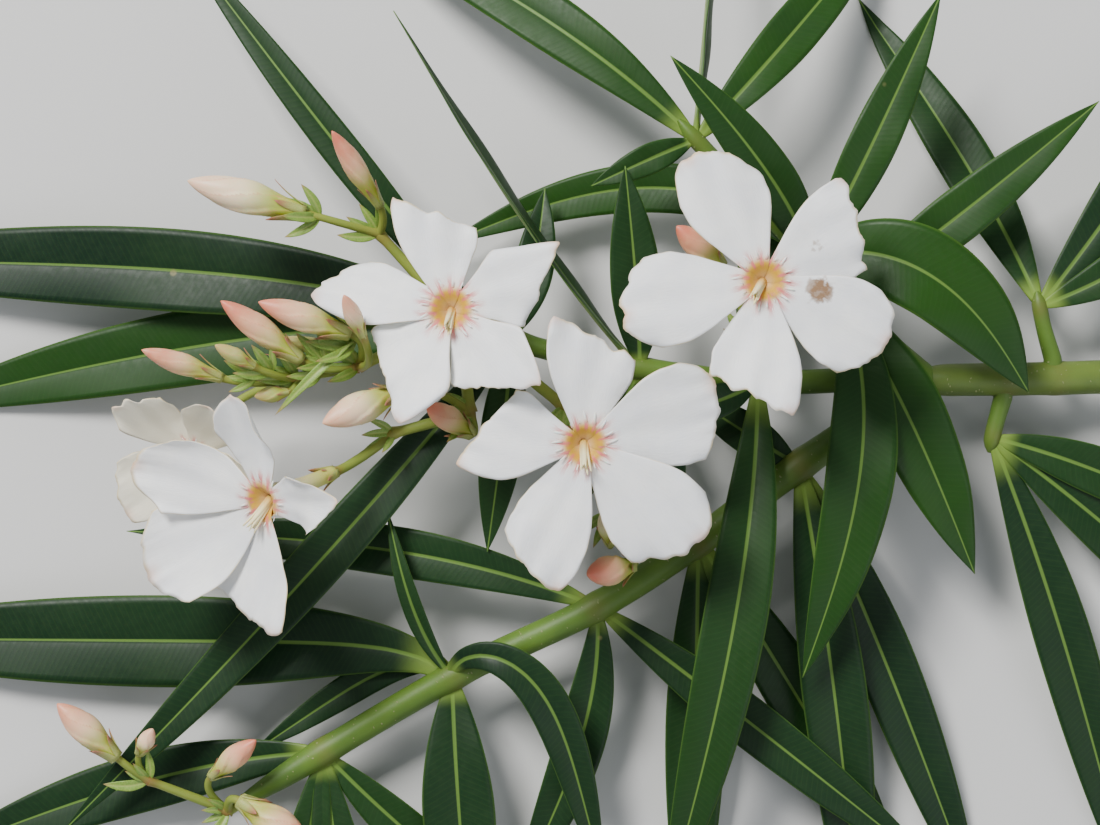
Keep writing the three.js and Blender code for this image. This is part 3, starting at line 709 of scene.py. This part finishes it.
BUDS = [
    bud_of((-46.8, 38.1, 33), 165, 8, 23, 3.2, 0.2),
    bud_of((-32.5, 39.4, 33), 122, 35, 19, 2, 0.9),
    bud_of((-38, 15, 34.5), 161, 13, 18.5, 2.65, 0.7),
    bud_of((-34.8, 14, 45), 112, 42, 11, 1.6, 0.5),
    bud_of((-47.5, 10, 32), 143, 18, 19.4, 2.5, 0.85),
    bud_of((-62.9, 6.6, 31), 160, 21, 16.5, 2.05, 0.8),
    bud_of((-56, 8.6, 35), 150, 30, 9.5, 1.5, 0.03),
    bud_of((-40.5, 12.2, 27.4), 172, 6, 13, 1.5, 0.03),
    bud_of((-29, 4, 28), 203, 24, 17, 3.05, 0.35),
    bud_of((-15.1, -4.2, 26), 146, 34, 12.5, 2.4, 0.8),
    bud_of((15.9, -29.7, 26), 187, 47, 13, 2.8, 0.9),
    bud_of((11.6, -25.6, 27), 99, 36, 9, 1.8, 0.1),
    bud_of((33.2, 27.9, 28), 140, 27, 13.3, 2.6, 0.95),
    bud_of((-50, 4, 29), 188, 14, 7, 1.5, 0.02),
]
LOWER_BUDS = [
    bud_of((-84.7, -67.5, 21), 135, 14, 16, 2.8, 0.6),
    bud_of((-80.6, -67, 20), 59, 26, 7, 1.6, 0.4),
    bud_of((-66.8, -71.8, 17), 40, 24, 13.5, 2.2, 0.8),
    bud_of((-61.3, -76.5, 17), -30, 10, 16.8, 3.2, 0.75),
]


def stalk(foot, tip, arriving, foot_radius, tip_radius):
    """A slim bent line from foot to tip that arrives along a direction, swollen at both ends."""
    elbow = tip - arriving * ((tip - foot).length * 0.45)
    line = []
    for i in range(25):
        t = i / 24
        point = foot * (1 - t) ** 2 + elbow * (2 * t * (1 - t)) + tip * t**2
        swell = 0.22 * bell(t, 0.09) + 0.3 * bell(1 - t, 0.07)
        blush = 0.75 * bell(t, 0.16) + 0.55 * bell(1 - t, 0.12)
        line.append((point, lerp(foot_radius, tip_radius, t) * (0.92 + swell), blush))
    return line


def branch(foot, tip, foot_radius, tip_radius):
    return stalk(foot, tip, (tip - foot).normalized(), foot_radius, tip_radius)


def bearing(foot, borne, foot_radius, tip_radius):
    """A stalk that ends in the foot of the bud or bloom that it bears."""
    return stalk(foot, borne.foot + borne.way * SEAT, borne.way, foot_radius, tip_radius)


CROTCH = SHOOTS["flowering"].past_end(4)
LEFT_UPPER = Vector((-33, 34.5, 27.5))
LEFT_MIDDLE = Vector((-37, 8.8, 27))
LEFT_FAR = Vector((-49, 6.6, 27.5))
LEFT_LOWER = Vector((-30.5, -4, 24))
MIDDLE_LOWER = Vector((-15.5, 0, 23))
FRONT = Vector((3, 1, 22))
FRONT_LOWER = Vector((11.5, -20, 23))
left_lines = [
    branch(SHOOTS["flowering"].past_end(0), CROTCH, 1.9, 1.6),
    branch(CROTCH, LEFT_UPPER, 1.3, 1),
    branch(CROTCH, LEFT_MIDDLE, 1.4, 1.1),
    branch(LEFT_MIDDLE, LEFT_FAR, 1.1, 0.9),
    branch(CROTCH, MIDDLE_LOWER, 1.4, 1.2),
    branch(MIDDLE_LOWER, LEFT_LOWER, 1.2, 1.1),
    branch(CROTCH, FRONT, 1.4, 1.2),
    branch(FRONT, FRONT_LOWER, 1, 0.9),
    bearing(CROTCH, BLOOMS[0], 1.2, 1),
    bearing(FRONT, BLOOMS[2], 1.1, 1),
    bearing(LEFT_LOWER, BLOOMS[3], 1.1, 1),
    bearing(LEFT_FAR, BLOOMS[4], 0.9, 0.9),
]
BEARERS = [LEFT_UPPER, LEFT_UPPER, LEFT_MIDDLE, LEFT_MIDDLE, LEFT_MIDDLE, LEFT_FAR, LEFT_FAR,
           LEFT_MIDDLE, MIDDLE_LOWER, MIDDLE_LOWER, FRONT_LOWER, FRONT_LOWER, None, LEFT_FAR]
for bearer, bud in zip(BEARERS, BUDS):
    if bearer:
        left_lines.append(bearing(bearer, bud, 0.9, 0.75))

RIGHT_STALK_PLACE = 36.3  # along the flowering shoot
right_seat = SHOOTS["flowering"].at(RIGHT_STALK_PLACE)
right_crotch = Vector((38, 14, 23))
right_lines = [
    branch(right_seat, right_crotch, 1.3, 1.1),
    bearing(right_crotch, BLOOMS[1], 1.1, 1),
    bearing(right_crotch, BUDS[12], 0.9, 0.8),
]
low_crotch = SHOOTS["lower"].past_end(4)
low_far = Vector((-79, -72.5, 17.4))
low_lines = [
    branch(SHOOTS["lower"].past_end(0), low_crotch, 1.3, 1.2),
    branch(low_crotch, low_far, 1.1, 0.9),
    bearing(low_far, LOWER_BUDS[0], 0.9, 0.8),
    bearing(low_far, LOWER_BUDS[1], 0.8, 0.6),
    bearing(low_crotch, LOWER_BUDS[2], 0.9, 0.7),
    bearing(low_crotch, LOWER_BUDS[3], 1, 0.9),
]
stalk_bark = bark_finish("stalk_bark", (0.24, 0.29, 0.045), (0.18, 0.24, 0.035), (0.28, 0.11, 0.045))
stalk_tree = bark_tree("stalk_bark_over_threads", stalk_bark, pore_cork)
for name, lines, solid in (
    ("stalks_left", left_lines, "flower_stalks"),
    ("stalks_right", right_lines, "flower_stalk_right"),
    ("stalks_lower", low_lines, "bud_stalks_lower"),
):
    add_bark(name, lines, stalk_tree, "stalk", solid, step=0.5 * MM, sides=12, pores=0.0)

# Bracts
# Small pointed scales at the joints of the flower stalks, green with brown tips, and one long
# narrow one under the left blooms.
bract_skin, tree = finish_of("bract_skin", 0.45, 0.1)
cloud = cloudy(tree, 400, 4)
finished(tree, coated(
    (0.14, 0.26, 0.03),
    (remap(cloud, 0.35, 0.65), (0.23, 0.34, 0.06)),
    (remap(attribute(tree, "off"), 0.1, 0.3, 0.6, 0), (0.33, 0.4, 0.1)),
    (remap(attribute(tree, "reach"), 0.8, 1, 0, 0.7), (0.3, 0.13, 0.06)),
), cloud, 0.04)


def towards(bearer, bud, part):
    """A place part of the way from a joint to a bud's foot."""
    return bearer.lerp(BUDS[bud - 1].foot, part)


bracts = Sheets(*LEAF_VALUES)
add_leaf(bracts, towards(LEFT_MIDDLE, 3, 0.75), "long bract", 0.9, 218, 226, 30, -14, 21, 1.9)
JOINTS = [(LEFT_UPPER, 140), (LEFT_MIDDLE, 165), (LEFT_FAR, 170), (LEFT_LOWER, 200), (MIDDLE_LOWER, 190),
          (FRONT, 280), (FRONT_LOWER, 260), (right_crotch, 110), (low_crotch, 190), (low_far, 140),
          (towards(LEFT_UPPER, 1, 0.8), 168), (LEFT_FAR.lerp(LEFT_MIDDLE, 0.4), 172),
          (towards(LEFT_MIDDLE, 5, 0.6), 150), (towards(LEFT_FAR, 6, 0.55), 165),
          (towards(LEFT_FAR, 7, 0.6), 140), (towards(LEFT_MIDDLE, 3, 0.6), 160)]
for number, (joint, heading) in enumerate(JOINTS):
    luck = random.Random(number)
    for turn in (-75, -25, 20, 65):
        length = luck.uniform(5.5, 9.5)
        rise = luck.uniform(25, 60)
        add_leaf(bracts, joint, f"bract {number} {turn}", 1.1, heading + turn, heading + turn * 0.5,
                 rise, rise - 25, length, 0.24 * length)
add_piece("bracts", bracts.mesh("bracts", bract_skin), "stalk")

# Blooms
# Five white petals spread flat from a slim funnel. Each is narrow at its foot and broad and
# slanting at its end, with one corner drawn out and a wavy, slightly ragged margin, and each
# leads over its neighbour like a sail. The throat is yellow with pink streaks.
PETAL_LEAN = 1.1
PETAL_SKIN = 0.34
PETAL_ROWS = 30
PETAL_COLUMNS = 36
THROAT = 0.2  # part of a petal's run that lines the throat
THROAT_RING = 2.9
THROAT_FOOT = 0.1
THROAT_DEPTH = 3
CLAW = 4.1  # where a petal leaves the throat


def smooth(low, high, value):
    part = min(max((value - low) / (high - low), 0), 1)
    return part * part * (3 - 2 * part)


def end_of(across, lead, short, blunt):
    """How far out a petal's end lies across it, full at the drawn-out corner."""
    if across < lead:
        return 1 - (1 - short) * ((lead - across) / (lead + 1)) ** blunt
    near = short + (1 - short) * max(0, (lead - 0.6) / 0.4)
    return 1 - (1 - near) * ((across - lead) / (1 - lead)) ** (blunt + 0.5)


def ragged(*place_of):
    return noise.noise(Vector(place_of))


def petal_point(spec, luck, reach, across):
    """A point of a petal's middle surface about the bloom's axis, in millimetres."""
    turn, radius, width, cup, lead, short, blunt = spec
    sink = max(0, 1 - reach / THROAT)
    ring = lerp(THROAT_RING, THROAT_FOOT, sink**1.2) + 0.1 * across
    angle = math.radians(46 * across)
    depth = -0.6 - THROAT_DEPTH * sink**1.2
    throat = Vector((ring * math.cos(angle), ring * math.sin(angle), depth))
    limb = max(0, (reach - THROAT) / (1 - THROAT))
    out = CLAW + (radius - CLAW) * limb * (1 + (end_of(across, lead, short, blunt) - 1) * math.sqrt(limb))
    half = lerp(3, width / 2, math.sin(math.pi / 2 * min(1, limb * 1.25)))
    side = across * half
    tear = (0.6 - 0.34 * across) * (1 - 0.7 * across**8)
    teeth = 1.9 * ragged(side * 0.38, turn, luck) + 0.55 * ragged(side * 1.1, turn, luck + 5)
    out += limb**6 * tear * teeth
    waves = 1.5 * ragged(out * 0.4, turn + 9, luck) + 0.35 * ragged(out * 1.2, turn, luck)
    side += across**3 * limb * (1 - 0.8 * limb**6) * tear * waves
    height = cup * limb**2 - 0.6 * (1 - limb) + PETAL_LEAN * across * min(1, limb * 3)
    height += 0.6 * limb**1.5 * math.sin(2.6 * across + turn)
    height += 0.3 * limb * math.sin(7 * across + 3 * limb + turn)
    height += 0.9 * limb**2 * across**4 * ragged(out * 0.28, across * 2, luck + turn)
    height += 0.7 * limb**6 * ragged(side * 0.4, luck, turn) - 0.9 * limb**6 * (0.4 + across**2)
    return throat.lerp(Vector((out, side, height)), smooth(0.1, 0.42, reach))


PETAL_VALUES = ("out", "across", "turn", "rim", "warm", "tip")
petal_skin, tree = finish_of("petal_skin", 0.5, 0.3, 1.2, Subsurface_Radius=(1, 0.9, 0.75),
                             Specular_IOR_Level=0.35, Sheen_Weight=0.12)
coords = object_place(tree)
out, across, turned_by, rim, warm, tip = (attribute(tree, name) for name in PETAL_VALUES)
cloud = cloudy(tree, 160, 4, Vector=coords)
fibre_place = node(tree, "ShaderNodeCombineXYZ",
                   {"X": times(across, 9), "Y": times(out, 0.16), "Z": turned_by})
fibre = cloudy(tree, 3, 4, Vector=fibre_place.outputs[0])
wavy = plus(times(across, 9.5), times(fibre, 7))
streak = remap(maths("SINE", plus(wavy, turned_by)), 0.1, 0.85)
streak_run = times(remap(out, 2.2, 3.2), remap(plus(out, times(cloud, 3.5)), 5.6, 9.4, 1, 0))
white = coated(
    (0.86, 0.87, 0.9),
    (remap(cloud, 0.3, 0.7), (0.95, 0.95, 0.94)),
    (remap(fibre, 0.5, 0.75, 0, 0.35), (0.8, 0.81, 0.83)),
    (warm, (0.93, 0.84, 0.6)),
    (times(remap(rim, 0.93, 1), remap(cloud, 0.35, 0.6, 0.25, 0.9)), (0.74, 0.56, 0.27)),
    (times(tip, 0.6), (0.78, 0.42, 0.3)),
    (remap(out, 3, 7.4, 0.6, 0), (0.88, 0.6, 0.42)),
    (remap(out, 3.1, 4.9, 1, 0), (0.62, 0.34, 0.02)),
    (remap(out, 0.8, 2.6, 0.7, 0), (0.72, 0.46, 0.24)),
    (times(times(streak, streak_run), 0.9), (0.66, 0.13, 0.15)),
)
# A brown spot and two flecks on the right bloom: place, radius and strength.
SPOTS = [((50.2, 22.8, 47), 2.6, 0.95), ((49.4, 31, 47), 1.1, 1), ((51.5, 29.6, 47), 0.8, 1)]
blot = cloudy(tree, 700, 4, Vector=coords)
for spot, radius, strength in SPOTS:
    away = node(tree, "ShaderNodeVectorMath", {0: coords, 1: place(spot)}, operation="DISTANCE")
    blotted = plus(away.outputs["Value"], times(blot, 4 * MM))
    stain = remap(blotted, (radius + 1.2) * MM, (radius + 2.4) * MM, strength, 0)
    white = coated(white, (times(stain, remap(blot, 0.3, 0.55, 0.7, 1)), (0.22, 0.11, 0.035)))
finished(tree, white, fibre, 0.12, 0.5)


def upright(foot, way):
    """The frame of something that stands at a place and points along a direction."""
    return Matrix.Translation(foot) @ Vector((0, 0, 1)).rotation_difference(way).to_matrix().to_4x4()


def bloom_frame(bloom):
    return upright(bloom.centre, bloom.way) @ Matrix.Scale(bloom.size, 4)


HIDDEN_BLOOM = 5  # behind the left one, and creamier
for number, bloom in enumerate(BLOOMS, 1):
    frame_of = bloom_frame(bloom)
    sheets = Sheets(*PETAL_VALUES)
    for spec in bloom.petals:
        turn, lead = spec[0], spec[4]
        spin = Matrix.Rotation(math.radians(turn), 4, "Z")
        grid = []
        for i in range(PETAL_ROWS + 1):
            reach = i / PETAL_ROWS
            grid.append([])
            for j in range(PETAL_COLUMNS + 1):
                across = 2 * j / PETAL_COLUMNS - 1
                middle = petal_point(spec, number, reach, across)
                thick = PETAL_SKIN * (1 - 0.55 * max(abs(across) ** 6, reach**8))
                half_skin = Vector((0, 0, thick / 2))
                sides = [frame_of @ spin @ (middle + skin) for skin in (half_skin, -half_skin)]
                grid[-1].append((*sides, {
                    "out": middle.xy.length, "across": across, "turn": turn,
                    "rim": max(abs(across) ** 3, reach**2.2),
                    "warm": 0.75 if number == HIDDEN_BLOOM else 0,
                    "tip": bell(across - lead, 0.2) * smooth(0.9, 1, reach),
                }))
        sheets.add(grid)
    piece = f"petals_{number}"
    add_piece(piece, sheets.mesh(piece, petal_skin), "petal", f"bloom_{number}")


# Bloom funnels
# Under each bloom the petals join in a slim tube, open and orange inside at the mouth, cream
# outside and yellow green at its foot, where it sits in the calyx.
FUNNEL = [(0.9, -TUBE_LENGTH), (1.35, -19.2), (1.5, -16), (1.6, -12), (1.9, -9), (2.5, -5.5), (3, -2.6),
          (3.2, -1.5), (3.1, -1.3), (2.7, -2.3), (2.2, -5.5), (1.3, -8.6), (0.05, -9.2)]
tube_skin, tree = finish_of("tube_skin", 0.5, 0.2, 1)
height = attribute(tree, "height")
cloud = cloudy(tree, 300, 3)
finished(tree, coated(
    (0.5, 0.52, 0.1),
    (remap(height, 0.1, 0.5), (0.85, 0.78, 0.5)),
    (remap(cloud, 0.45, 0.7, 0, 0.3), (0.75, 0.45, 0.3)),
    (remap(height, 0.66, 0.72), (0.75, 0.42, 0.06)),
), cloud, 0.05)


def closed(rings, heights):
    """A closed body through rings of points, with the height of each as a value."""
    made = bmesh.new()
    layer = made.verts.layers.float.new("height")
    loops = []
    for ring, height in zip(rings, heights):
        loop = [made.verts.new(point) for point in ring]
        for vertex in loop:
            vertex[layer] = height
        loops.append(loop)
    for low, high in zip(loops, loops[1:]):
        for j in range(len(low)):
            k = (j + 1) % len(low)
            made.faces.new((low[j], low[k], high[k], high[j]))
    made.faces.new(list(reversed(loops[0])))
    made.faces.new(loops[-1])
    bmesh.ops.recalc_face_normals(made, faces=made.faces)
    return made


def turned(profile, sides, frame_of, shape=None):
    """A closed body turned about Z from a smooth profile of radius and height."""
    rows = Shoot([(r, 0, z) for r, z in profile], (1, 1))
    count = 4 * len(profile)
    heights = [i / count for i in range(count + 1)]
    rings = []
    for at in heights:
        point = rows.at(rows.length * at)
        ring = []
        for angle in angles(sides):
            radius = point.x * (shape(angle, at) if shape else 1)
            spot = Vector((radius * math.cos(angle), radius * math.sin(angle), point.z))
            ring.append(place(frame_of @ spot))
        rings.append(ring)
    return closed(rings, heights)


def gathered(name, meshes):
    """Several meshes of one kind as one."""
    whole = bmesh.new()
    for mesh in meshes:
        whole.from_mesh(mesh)
    return to_mesh(whole, name, *meshes[0].materials)


tubes = [to_mesh(turned(FUNNEL, 28, bloom_frame(bloom)), "tube", tube_skin) for bloom in BLOOMS]
add_piece("funnels", gathered("funnels", tubes), "petal")

# Throat fringe
# In the mouth of each bloom stands a crown of thin white scales with torn ends, round a twist of
# fine hairs, gold at the foot and cream above, that stands in for the cone of anthers.
def faded(name, roughness, soft, full, foot, tip):
    """A waxy finish that runs from one colour at the foot to another from full height on."""
    made, tree = finish_of(name, roughness, soft, 0.6)
    finished(tree, coated(foot, (remap(attribute(tree, "height"), 0, full), tip)))
    return made


fringe_skin = faded("fringe_skin", 0.5, 0.3, 0.7, (0.8, 0.35, 0.25), (0.93, 0.9, 0.86))
hair_skin = faded("hair_skin", 0.6, 0.2, 0.6, (0.7, 0.42, 0.1), (0.88, 0.78, 0.46))


def ring_tree(name, skin):
    """Copies of one scale set round a circle, leaning out, each with its own small turn."""
    tree, given = new_tree(name, count=5, circle=1.0, lean=0.3, wobble=0.1, least=0.8, seed=1)
    add = adder(tree)

    def chance(low, high):
        return node(tree, "FunctionNodeRandomValue", {2: low, 3: high, "Seed": given["seed"]},
                    data_type="FLOAT").outputs[1]

    circle = add("MeshCircle", {"Vertices": given["count"], "Radius": given["circle"]})[0]
    angle = times(add("InputIndex")[0], maths("DIVIDE", 2 * math.pi, given["count"]))
    own = chance(times(given["wobble"], -1), given["wobble"])
    euler = node(tree, "ShaderNodeCombineXYZ", {"Y": plus(given["lean"], own), "Z": plus(angle, own)})
    turn = node(tree, "FunctionNodeEulerToRotation", {0: euler.outputs[0]}).outputs[0]
    scales = add("InstanceOnPoints", {"Points": circle, "Instance": given["Geometry"],
                                      "Rotation": turn, "Scale": chance(given["least"], 1)})[0]
    real = add("RealizeInstances", {"Geometry": scales})[0]
    return ended(tree, add("SetMaterial", {"Geometry": real, "Material": skin})[0])


SCALE_ROWS = 8
SCALE_SIDES = 6


def scale_mesh(length, width, thick, curl, torn=0):
    """One upright scale on the origin, flat across Y, curling towards +X, in metres."""
    heights = [i / (SCALE_ROWS - 1) for i in range(SCALE_ROWS)]
    rings = []
    for at in heights:
        half = width / 2 * (1 - at**2) ** 0.7 * (1 + torn * math.sin(9 * at)) + 0.03
        rings.append([
            Vector((thick / 2 * math.cos(angle) * (1 - 0.6 * at) + curl * at**2,
                    half * math.sin(angle), length * at - 0.25 * abs(curl) * at**2)) * MM
            for angle in angles(SCALE_SIDES)
        ])
    return to_mesh(closed(rings, heights), "scale")


def ringed(scale, tree, frame_mm, **values):
    """A ring of scales in a frame that is given in millimetres about the picture's middle."""
    made = grow("ring", scale, tree, **values)
    frame_of = frame_mm.copy()
    frame_of.translation = place(frame_mm.translation)
    made.transform(frame_of)
    return made


fringe_tree = ring_tree("crown_of_scales", fringe_skin)
hair_tree = ring_tree("twist_of_hairs", hair_skin)
HAIR_LEAN = math.radians(40)
fringes, hairs = [], []
for number, bloom in enumerate(BLOOMS, 1):
    mouth = bloom_frame(bloom)
    crown = mouth @ Matrix.Translation((0, 0, -0.6))
    fringes.append(ringed(scale_mesh(3, 0.8, 0.2, 0.8, 0.25), fringe_tree, crown,
                          count=17, circle=3.8 * MM, lean=0.85, wobble=0.45, least=0.3, seed=number))
    leaning = Matrix.Rotation(math.radians(bloom.plume), 4, "Z") @ Matrix.Rotation(HAIR_LEAN, 4, "Y")
    plume = mouth @ Matrix.Translation((0, 0, -3)) @ leaning
    hairs.append(ringed(scale_mesh(7.8, 1.2, 0.8, 0.5), hair_tree, plume,
                        count=11, circle=0.6 * MM, lean=-0.05, wobble=0.1, least=0.75, seed=number + 20))
add_piece("throat_fringes", gathered("throat_fringes", fringes), "petal")
add_piece("throat_hairs", gathered("throat_hairs", hairs), "petal")

# Buds
# Slim pointed buds, each of five petals rolled round one another, so that a spiral furrow runs
# up it. They are pink at the tip, cream in the middle and yellow green where they sit in the
# calyx.
BUD_PROFILE = [(0, 0), (0.36, 0.02), (0.68, 0.22), (1, 0.46),
               (0.92, 0.68), (0.52, 0.88), (0.2, 0.97), (0.04, 1)]
BUD_SIDES = 60
BUD_TWIST = 2.6
bud_skin, tree = finish_of("bud_skin", 0.45, 0.25, 1)
height, ripe = attribute(tree, "height"), attribute(tree, "ripe")
cloud = cloudy(tree, 260, 4, Vector=object_place(tree))
finished(tree, coated(
    (0.97, 0.88, 0.62),
    (ripe, (0.8, 0.44, 0.25)),
    (remap(ripe, 0.02, 0.16, 0.9, 0), (0.38, 0.46, 0.09)),
    (remap(height, 0.24, 0.64, 1, 0), (0.4, 0.46, 0.05)),
    (times(remap(height, 0.45, 0.95), remap(ripe, 0, 1, 0.3, 0.95)), (0.64, 0.15, 0.09)),
    (remap(cloud, 0.45, 0.7, 0, 0.3), (0.85, 0.62, 0.36)),
    (remap(attribute(tree, "lap"), 0.8, 1, 0, 0.55), (0.6, 0.24, 0.14)),
), cloud, 0.05)


def lap_at(angle, at):
    """How far a point of a bud lies across the rolled petal that covers it, from 0 to 1."""
    run = (angle + BUD_TWIST * at) / (2 * math.pi) * 5
    return run - math.floor(run)


def rolled(angle, at):
    """The spiral furrow of five rolled petals, as a factor on the radius."""
    return 1 + 0.13 * (lap_at(angle, at) - 0.5) * math.sin(math.pi * min(at * 1.15, 1))


def bud_mesh(bud):
    profile = [(r * bud.radius, z * bud.length) for r, z in BUD_PROFILE]
    made = turned(profile, BUD_SIDES, upright(bud.foot, bud.way), rolled)
    layers = made.verts.layers.float
    ripe_layer, lap_layer, height_layer = layers.new("ripe"), layers.new("lap"), layers["height"]
    made.verts.index_update()
    for vertex in made.verts:
        angle = 2 * math.pi * (vertex.index % BUD_SIDES) / BUD_SIDES
        vertex[ripe_layer] = bud.ripe
        vertex[lap_layer] = lap_at(angle, vertex[height_layer])
    return to_mesh(made, "bud", bud_skin)


for group, buds, solid in (("buds", BUDS, "bud_"), ("buds_lower", LOWER_BUDS, "lower_bud_")):
    names = [f"{solid}{i + 1}" for i in range(len(buds))]
    add_piece(group, gathered(group, [bud_mesh(bud) for bud in buds]), "bud", *names)

# Calyx
# Five narrow pointed sepals clasp the foot of every bloom and bud, green with red tips.
sepal_skin, tree = finish_of("sepal_skin", 0.5, 0.1)
cloud = cloudy(tree, 500, 3)
finished(tree, coated(
    (0.3, 0.36, 0.09),
    (remap(cloud, 0.35, 0.65), (0.42, 0.42, 0.13)),
    (remap(attribute(tree, "height"), 0.35, 0.95, 0, 0.9), (0.36, 0.12, 0.08)),
), cloud, 0.04)
sepal_tree = ring_tree("ring_of_sepals", sepal_skin)
sepals = []
for number, bloom in enumerate(BLOOMS, 1):
    foot = bloom_frame(bloom) @ Matrix.Translation((0, 0, -TUBE_LENGTH))
    sepals.append(ringed(scale_mesh(5.4, 1.9, 0.4, 0.9), sepal_tree, foot,
                         circle=1.0 * MM, lean=0.12, wobble=0.12, seed=number))
for number, bud in enumerate(BUDS + LOWER_BUDS, 30):
    sepal = scale_mesh(2 + 0.27 * bud.length, 0.8 * bud.radius, 0.35, 0.42 * bud.radius)
    lean = math.atan(1.3 * bud.radius / bud.length)
    sepals.append(ringed(sepal, sepal_tree, upright(bud.foot, bud.way),
                         circle=0.4 * bud.radius * MM, lean=lean, wobble=0.1, seed=number))
add_piece("calyxes", gathered("calyxes", sepals), "bud")
